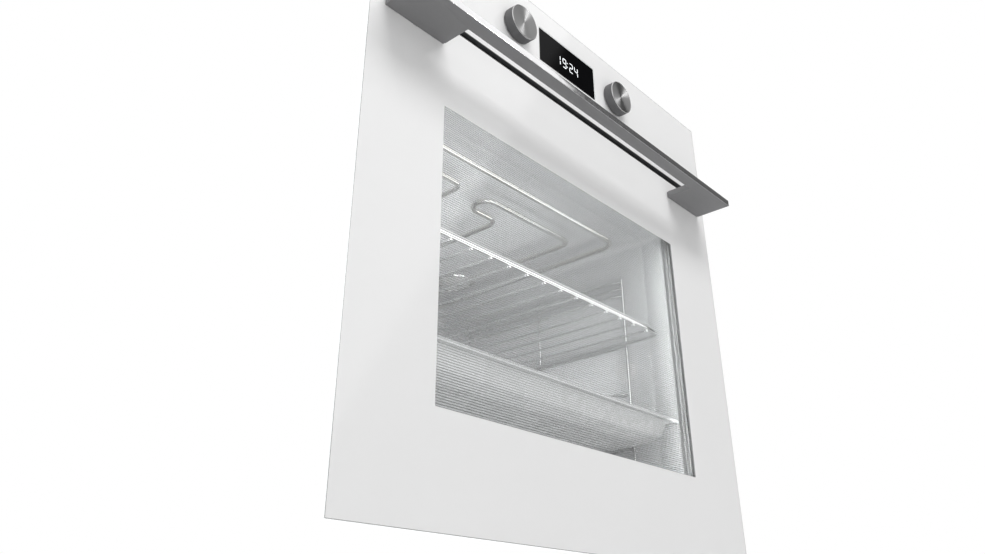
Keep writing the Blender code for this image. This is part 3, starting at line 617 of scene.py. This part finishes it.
def door_glass():
    """The outer pane: white print round a clear window, holes for the handle's bolts and ground edges."""
    x, d, h = spans("door_outer_glass")
    bolt_hole, window_corner, wider_behind = 3.5, 1.0, 9
    bolts = [circle(side * BOLT_X, BOLT_H, bolt_hole, 20) for side in (-1, 1)]
    window, behind = (rectangle(*window_span(over), window_corner, 3) for over in (0, wider_behind))
    bm = bmesh.new()
    plate_into(bm, rectangle(x, h, PANE_CORNER), bolts, glass_rows(d), upright, (window, behind))
    mesh = to_mesh("door_front_pane", bm, 20)
    piece("door_front_pane", mesh, "white_print clear_glass pane_edge edge_line", "door",
          ["door_outer_glass"])


def window_prints():
    """Dark lines across the window, behind the outer pane, and pale bands down the inner pane's sides."""
    pitch, line, over, thick = 2.3, 0.7, 8.0, 0.06
    back = spans("door_outer_glass")[1][1] + 0.03
    across, (low, high) = window_span(over)
    lines = [(across, (back, back + thick), (low + i * pitch, low + i * pitch + line))
             for i in range(int((high - low) / pitch))]
    blocks("door_window_lines", lines, "screen_print", "door")

    face = spans("door_inner_glass")[1][1]
    wide, narrow, height = (222.5, 229), (241, 243.5), (60, 432)
    bands = [(sorted(side * x for x in band), (face + 0.02, face + 0.1), height)
             for side in (-1, 1) for band in (wide, narrow)]
    blocks("inner_pane_bands", bands, "pane_print", "door")


def panel_glass():
    """The control panel's pane with its holes, and a tick over each knob."""
    x, d, h = spans("control_panel_glass")
    display_x, _, display_h = spans("display_window")
    gap, shaft_hole = 0.3, 6
    display = rectangle(*((low - gap, high + gap) for low, high in (display_x, display_h)))
    shafts = [circle(side * KNOB_X, KNOB_H, shaft_hole, 32) for side in (-1, 1)]
    bm = bmesh.new()
    plate_into(bm, rectangle(x, h, PANE_CORNER), [display] + shafts, glass_rows(d), upright)
    mesh = to_mesh("control_panel_pane", bm, 20)
    for face in mesh.polygons:
        if face.normal.z < -0.5 and face.center.z < at(0, 0, h[0] + 3).z:
            face.material_index = 1  # painted shade: the lower edge, facing the dark gap over the door, is drawn black
    piece("control_panel_pane", mesh, "white_print black_plastic pane_edge edge_line", "oven",
          ["control_panel_glass"])
    tick_half, tick_h = 0.4, (KNOB_H + 25, KNOB_H + 28)
    ticks = [((x - tick_half, x + tick_half), (-0.03, 0.02), tick_h) for x in (-KNOB_X, KNOB_X)]
    blocks("panel_ticks", ticks, "grey_plastic", "oven")


# Segments of a digit: along the cell's width or height, as shares of the cell.
SEGMENTS = {"a": ((0, 1), 1.0), "g": ((0, 1), 0.5), "d": ((0, 1), 0.0),
            "f": ((0.5, 1), 0), "b": ((0.5, 1), 1), "e": ((0, 0.5), 0), "c": ((0, 0.5), 1)}
DIGITS = {"1": "bc", "9": "abcdfg", "2": "abged", "4": "bcfg"}


def clock():
    """The time in seven-segment digits, just in front of the display's glass."""
    low, tall, wide, thick, gap, dot = 536.6, 13.4, 6.8, 1.05, 0.3, 1.2
    glass = spans("display_window")[1][0]
    d = (glass - 0.05, glass + 0.01)
    places = []
    for digit, left in zip("1924", (-20.9, -9.9, 2.9, 12.6)):
        for name in DIGITS[digit]:
            (start, end), other = SEGMENTS[name]
            if name in "agd":
                x = (left + thick / 2 + gap, left + wide - thick / 2 - gap)
                h = (low + other * (tall - thick), low + other * (tall - thick) + thick)
            else:
                x = (left + other * (wide - thick), left + other * (wide - thick) + thick)
                h = (low + start * tall + gap + thick / 2, low + end * tall - gap - thick / 2)
            places.append((x, d, h))
    colon_x, colon_h = (-1.5, -0.3), (540.4, 545.9)
    places += [(colon_x, d, (h, h + dot)) for h in colon_h]
    blocks("clock_digits", places, "digit_light", "oven")


def knobs():
    """Turned knobs: a brushed side, a bright chamfer and a spun, slightly sunken face."""
    reach = -spans("function_knob")[1][0]
    radius = half("function_knob") + KNOB_X + 0.3
    face, shaft_r, shaft_end, back = radius - 1.1, 4, -5.9, 0.8
    profile = [(0, reach - 1.4), (face * 0.5, reach - 0.95), (face, reach - 0.3), (face + 0.2, reach - 0.05),
               (face + 0.5, reach), (radius - 0.2, reach - 0.5), (radius, reach - 0.9),
               (radius, back + 0.3), (radius - 0.3, back), (shaft_r, back), (shaft_r, shaft_end),
               (0, shaft_end)]
    for side, name in ((-1, "function_knob"), (1, "temperature_knob")):
        centre = (side * KNOB_X, 0, KNOB_H)

        def which(polygon, centre=at(*centre)):
            """0 on the side and the shaft, 1 on the face, 2 on the chamfer."""
            middle = (polygon.center - centre) / MM
            if -middle.y < reach - 1.5:
                return 0
            return 1 if math.hypot(middle.x, middle.z) < face - 0.05 else 2
        turned(f"{name}_turned", [(centre, profile)], "-d", "knob_side knob_face knob_rim", name,
               [name], 96, which)


def handle():
    """A flat plate of brushed steel: two end blocks back to the door, and a grip bar along the front."""
    x, d, h = spans("door_handle")
    outline = [(x[0], d[1]), (x[0], d[0]), (x[1], d[0]), (x[1], d[1]),
               (GRIP_X, d[1]), (GRIP_X, GRIP_D), (-GRIP_X, GRIP_D), (-GRIP_X, d[1])]
    corner, grip_corner = 0.6, 1.0
    radii = [corner] * 5 + [grip_corner] * 2 + [corner]
    bm = bmesh.new()
    plate_into(bm, rounded(outline, radii, closed=True, steps=4), [], round_rows(h, 0.5), at)
    mesh = to_mesh("door_handle_plate", bm)
    front = at(0, d[0] + corner, 0).y
    for face in mesh.polygons:
        face.material_index = int(face.center.y < front and abs(face.normal.z) < 0.9)
    piece("door_handle_plate", mesh, "handle_steel handle_front", "door", ["door_handle"])
    seat_d, seat_h = (d[1] - 0.1, -0.15), (h[0] + 0.1, h[1] - 0.1)
    for side, sign in SIDES:
        across = sorted((sign * (GRIP_X + 1), sign * (x[1] - 1)))
        blocks(f"{side}_handle_seat", [(across, seat_d, seat_h)], "handle_steel", "door",
               [f"{side}_handle_spacer"], 0.1)


# ---------------------------------------- cavity

def liner():
    """The muffle: a drawn box with well-rounded corners and a pressed bead behind its mouth."""
    x, d, h = spans("cavity_liner")
    wide, low, high, back = x[1] - LINER_WALL, h[0] + LINER_WALL, h[1] - LINER_WALL, d[1] - LINER_WALL
    corner, curve_steps = 9, 5
    bead_d, bead, bead_half = 66.5, 1.3, 5.0
    bm = bmesh.new()
    rings = []

    def ring_at(depth, grow, radius):
        ring = rectangle((-wide - grow, wide + grow), (low - grow, high + grow), radius, 8)
        rings.append([bm.verts.new(upright(p.x, p.y, depth)) for p in ring])

    stations = [d[0], d[0] + 6]
    stations += [bead_d - bead_half + bead_half * i / 4 for i in range(9)]
    for depth in stations + [back - 14, back - corner]:
        near = max(0.0, 1 - ((depth - bead_d) / bead_half) ** 2)
        grow = bead * near * near
        ring_at(depth, grow, corner + grow)
    for step in range(1, curve_steps + 1):
        t = math.pi / 2 * step / curve_steps
        shrink = corner * (1 - math.cos(t))
        ring_at(back - corner + corner * math.sin(t), -shrink, max(corner - shrink, 0.4))
    bridge(bm, rings, flip=True)
    bm.faces.new(rings[-1])
    mesh = to_mesh("cavity_shell", bm, 60)
    shell = piece("cavity_shell", mesh, "enamel", "oven", ["cavity_liner"])
    thick = shell.modifiers.new("Solidify", "SOLIDIFY")
    thick.thickness = LINER_WALL * MM * 0.8
    thick.offset = 1.0
    shaft_hole, leg_hole = 7, 4.5
    holes = [disc(LAMP_X, LAMP_D, h[1], LAMP_R + 1, "h"), disc(0, d[1], sum(h) / 2, shaft_hole, "d")]
    for node in ("top_heating_element", "grill_element"):
        (_, right), _, levels = spans(node)
        holes += [disc(side * (right - ELEMENT_R), d[1], sum(levels) / 2, leg_hole, "d") for side in (-1, 1)]
    cut(shell, holes)


def disc(x, d, h, radius, axis, depth=30):
    """A short cylinder to cut a hole with."""
    bm = bmesh.new()
    place = Matrix.Translation(at(x, d, h)) @ AXIS_TURN[axis]
    bmesh.ops.create_cone(bm, cap_ends=True, segments=48, radius1=radius * MM, radius2=radius * MM,
                          depth=depth * MM, matrix=place)
    return to_mesh("cutter", bm)


def cut(obj, cutters):
    """Takes the cutters out of a piece and keeps the result as its mesh."""
    tools = []
    for mesh in cutters:
        tools.append(new_object("cutter", mesh))
        boolean = obj.modifiers.new("Cut", "BOOLEAN")
        boolean.operation = "DIFFERENCE"
        boolean.object = tools[-1]
    evaluated = obj.evaluated_get(bpy.context.evaluated_depsgraph_get())
    mesh = bpy.data.meshes.new_from_object(evaluated)
    mesh.name = obj.name
    obj.modifiers.clear()
    obj.data = mesh
    mesh.set_sharp_from_angle(angle=math.radians(35))
    for tool in tools:
        bpy.data.objects.remove(tool)


def elements():
    """The grill's two loops under the ceiling: a plain outer one, and an inner one folded in its middle."""
    (_, right), (front, leg), levels = spans("top_heating_element")
    height = sum(levels) / 2 - 1.8
    reach, near = right - ELEMENT_R, front + ELEMENT_R
    outer = [(-reach, leg, height), (-reach, near, height), (reach, near, height), (reach, leg, height)]
    tubes("grill_outer_loop", [rounded(outer, 22, steps=12)], ELEMENT_R, "element", "oven",
          ["top_heating_element"], fineness=5)
    (_, right), (front, _), _ = spans("grill_element")
    reach, near = right - ELEMENT_R, front + ELEMENT_R
    fold_left, fold_right, fold_back, neck, shoulder = -56, 38, 330, -15, near + 31
    inner = [(-reach, leg), (-reach, near), (fold_left, near), (fold_left, fold_back),
             (fold_right, fold_back), (fold_right, shoulder), (neck, shoulder), (neck, near),
             (reach, near), (reach, leg)]
    tubes("grill_inner_loop", [rounded([(x, d, height) for x, d in inner], 15, steps=10)], ELEMENT_R,
          "element", "oven", ["grill_element"], fineness=5)


def racks():
    """Side racks: three uprights and the rails, a weld bead at each rail's front bend, and a holding nut."""
    front, back = spans("right_side_rack")[1]
    up_r, rail_r, bead_r = 1.75, 1.5, 2.1
    wall = half("cavity_liner") - LINER_WALL - 0.3 - up_r
    x, inside = wall - 1.45, 232.5
    foot, top, jog, bend = 100, 378, 4, 12
    first, middle, last = front + up_r, (front + back) / 2, back - up_r
    bead = [(bead_r * math.sin(math.pi * i / 8), bead_r * math.cos(math.pi * i / 8)) for i in range(9)]
    nut_r, washer_r = 6, 13
    nut = [(0, 3.2), (3.2, 3.2), (4.0, 2.6), (5.6, 2.4), (nut_r, 1.8), (nut_r, 1.0),
           (washer_r - 0.6, 1.0), (washer_r, 0.7), (washer_r, 0), (0, 0)]
    uprights = [[(wall, d, top), (out, d, top - jog), (out, d, foot + jog), (wall, d, foot)]
                for d, out in ((first, x), (middle, x - 1.2), (last, x))]
    rails = [[(x, first, h), (inside, first + bend, h), (inside, last - bend, h), (x, last, h)]
             for h in RAIL_H]
    for side, sign in SIDES:
        paths = [rounded([(sign * px, d, h) for px, d, h in route], radius, steps=steps)
                 for routes, radius, steps in ((uprights, 1.6, 3), (rails, 10, 5)) for route in routes]
        tubes(f"{side}_rack_wires", paths, [up_r] * 3 + [rail_r] * len(RAIL_H), "chrome", "oven",
              [f"{side}_side_rack"])
        beads = [((sign * (inside + 1.0), first + bend, h), bead) for h in RAIL_H]
        turned(f"{side}_rack_welds", beads, "h", "chrome", "oven", steps=20)
        centre = (sign * (wall + up_r), NUT_D, NUT_H)
        turned(f"{side}_rack_nut_turned", [(centre, nut)], "-x" if sign > 0 else "x", "nut_plate", "oven",
               [f"{side}_rack_nut"], 48)


def shelf():
    """The wire shelf: thick frame, crosswires, a thin lip along the front and a stop along the back."""
    frame_r, cross_r, stop_r, lip_r = 2.5, 1.5, 1.8, 1.0
    x, front, back = half("wire_shelf") - frame_r, 46.0, 402.0
    bend = front + 12
    around = [(-x, bend, SHELF_H), (-x, back, SHELF_H), (x, back, SHELF_H), (x, bend, SHELF_H),
              (x - 1, front, SHELF_FRONT_H), (1 - x, front, SHELF_FRONT_H)]
    tubes("shelf_frame", [rounded(around, [6, 12, 12, 6, 5, 5], closed=True)], frame_r, "chrome",
          "wire_shelf", ["wire_shelf"], True, 5)

    count, step = 7, 28.5
    side_view = [(front - 1.0, SHELF_FRONT_H - 5.6), (front - 0.6, SHELF_FRONT_H - 2.0),
                 (front + 3.4, SHELF_FRONT_H - 3.4), (back + 1.3, SHELF_H - 0.75)]
    wires = [rounded([(i * step, d, h) for d, h in side_view], 0.8, steps=3)
             for i in range(-count, count + 1)]
    stop_x, stop_rise = 207, 18
    stop = [(-stop_x, back, SHELF_H), (-stop_x, back + 2, SHELF_H + stop_rise),
            (stop_x, back + 2, SHELF_H + stop_rise), (stop_x, back, SHELF_H)]
    tubes("shelf_wires", wires + [rounded(stop, 6)], [cross_r] * len(wires) + [stop_r], "chrome",
          "wire_shelf")

    lip_d, lip_h, lip_end = front + 0.5, SHELF_FRONT_H + 4.6, 18
    lip = [(lip_end - x, lip_d, SHELF_FRONT_H), (lip_end + 5 - x, lip_d, lip_h),
           (x - lip_end - 5, lip_d, lip_h), (x - lip_end, lip_d, SHELF_FRONT_H)]
    # the lip wire is drawn in a darker plating than the other wires: painted shade, so that it shows fainter
    # than they do
    tubes("shelf_lip", [rounded(lip, 2)], lip_r, "dull_plate", "wire_shelf")


def tray():
    """An enamelled tray pressed from sheet, with soft folds and a flat rim with a raised, rolled edge."""
    (_, outer), (front, back), (low, high) = spans("baking_tray")
    rim, taper, sheet = 9.0, 36.0, 1.2
    rolled_edge = [(0.6, high - 3.0), (0.0, high - 2.2), (0.0, high + 0.4), (0.4, high + 1.2),
                   (1.4, high + 1.5), (3.0, high + 0.6), (4.5, high)]
    fold = [(rim - 1.5, high), (rim + 0.6, high - 0.9), (rim + 2.0, high - 2.2)]
    wall = [(rim + 7.5, low + 11.5), (rim + 9.0, low + 9.0), (rim + 12.0, low + 6.8)]
    bottom = [(rim + taper * 0.68, low + 2.2), (rim + taper * 0.80, low + sheet), (rim + taper, low + sheet)]
    bm = bmesh.new()
    rings = []
    for shrink, height in rolled_edge + fold + wall + bottom:
        ring = rectangle((-outer + shrink, outer - shrink), (front + shrink * 0.75, back - shrink * 0.75),
                         max(9 + shrink * 0.5, 4.0), 10)
        rings.append([bm.verts.new(at(p.x, p.y, height)) for p in ring])
    bridge(bm, rings)
    bm.faces.new(rings[-1])
    mesh = to_mesh("tray_pressing", bm, 50)
    pressing = piece("tray_pressing", mesh, "tray_enamel", "baking_tray", ["baking_tray"])
    thick = pressing.modifiers.new("Solidify", "SOLIDIFY")
    thick.thickness = sheet * MM
    thick.offset = -1.0


def lamp():
    """The ceiling lamp: a domed glass in a plated ring."""
    ceiling = spans("cavity_liner")[2][1] - LINER_WALL
    lens = [(0, -9), (LAMP_R * 0.35, -8.6), (LAMP_R * 0.62, -7.2), (LAMP_R * 0.82, -5.2), (LAMP_R - 2, -3),
            (LAMP_R - 0.6, -1.4), (LAMP_R, 0), (LAMP_R, 3), (0, 3)]
    centre = (LAMP_X, LAMP_D, ceiling)
    turned("lamp_dome", [(centre, lens)], "h", "lamp_glass", "oven", ["lamp_lens"])
    around = [math.pi * i / 6 for i in range(7)]
    middle, half_width, drop = LAMP_R + 2.3, 2.1, 3.4
    ring = [(middle - half_width * math.cos(t), -0.3 - drop * math.sin(t)) for t in around]
    ring.append(ring[0])
    turned("lamp_ring", [(centre, ring)], "h", "chrome", "oven")


def seal():
    """The door's seal: one soft tube round the cavity's mouth."""
    x, d, h = spans("door_gasket")
    radius = (d[1] - d[0]) / 2
    middle = sum(d) / 2
    corners = [(x[0] + radius, middle, h[0] + radius), (x[1] - radius, middle, h[0] + radius),
               (x[1] - radius, middle, h[1] - radius), (x[0] + radius, middle, h[1] - radius)]
    tubes("door_seal", [rounded(corners, 16, closed=True)], radius, "rubber", "oven",
          ["door_gasket"], True)


# ---------------------------------------- outside of the housing

def screw_into(bm, centre, axis):
    """A hexagonal washer-head screw that points against the axis."""
    spin_into(bm, [(0, 0.9), (4.4, 0.9), (4.9, 0.5), (4.9, 0.05), (0, 0.05)], centre, axis, 24)
    spin_into(bm, [(0, 3.6), (2.4, 3.6), (3.1, 3.2), (3.1, 0.9), (0, 0.9)], centre, axis, 6)


def screws():
    """The screws of the rear panel, the top cover and the side panels."""
    _, (_, rear), (_, top) = spans("top_cover")
    edge, inner, top_edge = 262, 90, 264
    places = [((x, rear, h), "d") for x in (-edge, -inner, inner, edge) for h in (16, top - 12)]
    places += [((x, rear, h), "d") for x in (-edge, edge) for h in (200, 390)]
    places += [((x, d, top), "h") for x in (-top_edge, top_edge) for d in (60, 210, 360, 500)]
    sides = (spans("left_side_panel")[0][0], "-x"), (spans("right_side_panel")[0][1], "x")
    places += [((x, d, h), axis) for x, axis in sides for d in (60, 300, 530) for h in (14, top - 10)]
    bm = bmesh.new()
    for centre, axis in places:
        screw_into(bm, centre, axis)
    piece("housing_screws", to_mesh("housing_screws", bm), "chrome", "oven")


def pressings():
    """Stiffening panels pressed outwards in the rear, top and side sheets."""
    _, (_, rear), (_, top) = spans("top_cover")
    corner, sunk, proud, ease = 14, 0.3, 1.6, 1.5

    def press(name, places, sheet, spot):
        bm = bmesh.new()
        for u, v in places:
            plate_into(bm, rectangle(u, v, corner, 8), [], [(sheet - sunk, 0), (sheet + proud, 0)], spot)
        piece(name, eased(bm, name, ease), "zinc", "oven")

    low, high, below_slots = 60, 500, 400
    press("rear_pressings", [((-235, -130), (low, high)), ((-105, 105), (low, below_slots)),
                             ((130, 235), (low, below_slots))], rear, upright)
    press("top_pressings", [(x, (90, high)) for x in ((-240, -165), (165, 240))], top, at)
    for side, sign in SIDES:
        sheet = abs(spans(f"{side}_side_panel")[0][0 if sign < 0 else 1])
        press(f"{side}_pressings", [((d, d + 60), (70, high)) for d in (90, 200, 310, 420)], sheet,
              lambda depth, height, level: at(sign * level, depth, height))


def eased(bm, name, width):
    """The mesh with its outer edges rounded."""
    bmesh.ops.dissolve_limit(bm, angle_limit=math.radians(1), verts=bm.verts, edges=bm.edges)
    edges = [e for e in bm.edges if len(e.link_faces) == 2 and e.calc_face_angle() > math.radians(60)]
    bmesh.ops.bevel(bm, geom=edges, offset=width * MM, segments=3, profile=0.5, affect="EDGES")
    for face in bm.faces:
        face.material_index = 0
    return to_mesh(name, bm, 50)


def cable_gland():
    """The bush in the rear panel where the supply cable is led in."""
    rear = spans("rear_panel")[1][1]
    bore, neck, flange = 8, 10.8, 14.5
    profile = [(bore, 4), (bore + 1, 5), (flange - 1.5, 5), (flange, 3.6), (flange, 0.1), (neck, 0.1),
               (neck, -4), (bore + 1, -4), (bore, -3), (bore, 4)]
    turned("cable_bush", [((182, rear, 445), profile)], "d", "black_plastic", "oven")


# ---------------------------------------- stage, lights and camera

def sheet_object(name, corners, material):
    """A flat card."""
    mesh = bpy.data.meshes.new(name)
    mesh.from_pydata([at(*c) for c in corners], [], [tuple(range(len(corners)))])
    mesh.materials.append(material)
    new_object(name, mesh)


def one_sided_white(name):
    """White from the front, and not there at all from behind."""
    look = Look(name, (1, 1, 1), 1.0)
    behind = look.add("NewGeometry", {}).outputs["Backfacing"]
    glow = look.add("Emission", {"Color": (1, 1, 1, 1), "Strength": 1.0}).outputs[0]
    clear = look.add("BsdfTransparent", {}).outputs[0]
    look.swap(look.add("MixShader", {0: behind, 1: glow, 2: clear}).outputs[0])
    return look.material


def stage():
    """A pale floor, a low plinth under the oven, and the white cabinet front beside and below it."""
    floor_h = -120.0
    pale = Look("floor_paint", (0.90, 0.90, 0.90), 0.8)
    pale.set({"Base Color": pale.blend(pale.noise(3), (0.88, 0.88, 0.88), (0.92, 0.92, 0.92))})
    far = 6000
    corners = [(-far, -far), (far, -far), (far, far), (-far, far)]
    sheet_object("floor", [(x, d, floor_h) for x, d in corners], pale.material)
    x, d, _ = spans("top_cover")
    bm = bmesh.new()
    blocks_into(bm, [(x, (d[0] + 2, d[1]), (floor_h, -0.3))], 1.0)
    plinth = new_object("plinth", to_mesh("plinth", bm))
    plinth.data.materials.append(pale.material)
    white = one_sided_white("cabinet_white")
    front, side, far_side, right, top, under = 19.5, -284.2, -485.0, 290, 598.0, 7.2
    for name, (x, h) in (("cabinet_front_left", ((far_side, side), (floor_h, top))),
                         ("cabinet_front_below", ((side, right), (floor_h, under)))):
        corners = [(x[0], h[0]), (x[1], h[0]), (x[1], h[1]), (x[0], h[1])]
        sheet_object(name, [(u, front, v) for u, v in corners], white)


WORLD_LIGHT = (0.45, 0.65)  # soft light from below and from above
ROOM_LIGHT = (1.6, 0.16)  # the bright and the dim half of the room, in reflections
ROOM_EDGE = (0.774, 0.457, -0.438)  # points from the bright half to the dim one


def world():
    """A white studio: white behind the oven, an even soft light, and in reflections one large bright half
    of the room with a straight edge against a dimmer one."""
    made = bpy.data.worlds.new("studio")
    made.use_nodes = True
    tree = made.node_tree
    direction = add_node(tree, "TexCoord", {}).outputs["Generated"]
    height = add_node(tree, "SeparateXYZ", {"Vector": direction}).outputs["Z"]
    soft = map_range(tree, height, -0.6, 0.9, *WORLD_LIGHT)
    across = add_node(tree, "VectorMath", {0: direction, 1: ROOM_EDGE}, operation="DOT_PRODUCT")
    room = map_range(tree, across.outputs["Value"], -0.008, 0.008, *ROOM_LIGHT)
    path = add_node(tree, "LightPath", {}).outputs
    lit = add_node(tree, "Mix", {0: path["Is Glossy Ray"], 2: soft, 3: room}).outputs[0]
    seen = add_node(tree, "Mix", {0: path["Is Camera Ray"], 2: lit, 3: 1.0}).outputs[0]
    background = tree.nodes["Background"]
    join(tree, (1, 1, 1, 1), background.inputs["Color"])
    join(tree, seen, background.inputs["Strength"])
    bpy.context.scene.world = made


def lamp_light(name, place, aim, size, power, glossy=True, diffuse=True):
    """An area light of size (width, height) metres, turned towards a point; both are in metres."""
    data = bpy.data.lights.new(name, "AREA")
    data.shape = "RECTANGLE"
    data.size, data.size_y = size
    data.energy = power
    light = new_object(name, data)
    light.location = place
    light.rotation_euler = (Vector(aim) - Vector(place)).to_track_quat("-Z", "Y").to_euler()
    light.visible_glossy = glossy
    light.visible_diffuse = diffuse
    light.visible_camera = False


def lights():
    """Soft lamps outside, one that draws a streak on the knobs, and small lights inside the cavity."""
    middle = (CAD_BOX[0] + CAD_BOX[1]) / 2
    lamp_light("key", (-0.1, -1.25, 1.95), middle, (1.4, 0.5), 23.5, glossy=False)
    lamp_light("rear", (1.2, 2.4, 1.8), middle, (1.6, 1.6), 40)
    knobs_middle, streak_from = at(0, -13, KNOB_H), Vector((0.446, -0.842, 0.304))
    lamp_light("streak", knobs_middle + streak_from * 4.0, knobs_middle, (0.45, 0.45), 44, diffuse=False)
    mouth_h = sum(spans("cavity_liner")[2]) / 2
    lamp_light("mouth", at(0, 28.6, mouth_h), at(0, 300, mouth_h), (0.45, 0.33), 0.94)
    lamp_light("cavity", at(-25, 225, 173), at(-25, 225, 400), (0.38, 0.34), 0.98, glossy=False)
    lamp_light("cavity_back", at(-30, 60, 215), at(-60, 440, 250), (0.40, 0.06), 1.05, glossy=False)
    lamp_light("cavity_below", at(0, 160, 88), at(0, 160, 400), (0.36, 0.24), 0.42, glossy=False)
    for side in (-1, 1):
        seal_place = at(side * 253.5, 27, mouth_h)
        straight_in = seal_place + Vector((0, 1, 0))
        lamp_light("behind_seal", seal_place, straight_in, (0.006, 0.33), 0.02, glossy=False)
        in_door, by_seal = at(side * 210, 18, 240), at(side * 252, 31, 240)
        lamp_light("door_edge", in_door, by_seal, (0.012, 0.30), 0.26, glossy=False)


def camera():
    """Low on the left, looking up at the front."""
    data = bpy.data.cameras.new("camera")
    data.lens = 30.405
    data.sensor_width = 36.0
    data.shift_y = -0.05178
    made = new_object("camera", data)
    made.location = at(-645.7, -461.9, -74.9)
    made.rotation_euler = [math.radians(a) for a in (117.208, 0.015, -47.962)]
    bpy.context.scene.camera = made


camera()
world()
lights()
stage()
dress_nodes()
ease_edges(["fan_cover", "door_top_trim", "door_bottom_trim", "door_left_profile", "door_right_profile"], 0.4)
door_glass()
window_prints()
panel_glass()
clock()
knobs()
handle()
liner()
elements()
racks()
shelf()
tray()
lamp()
seal()
screws()
pressings()
cable_gland()
bpy.context.scene.view_settings.view_transform = "Standard"
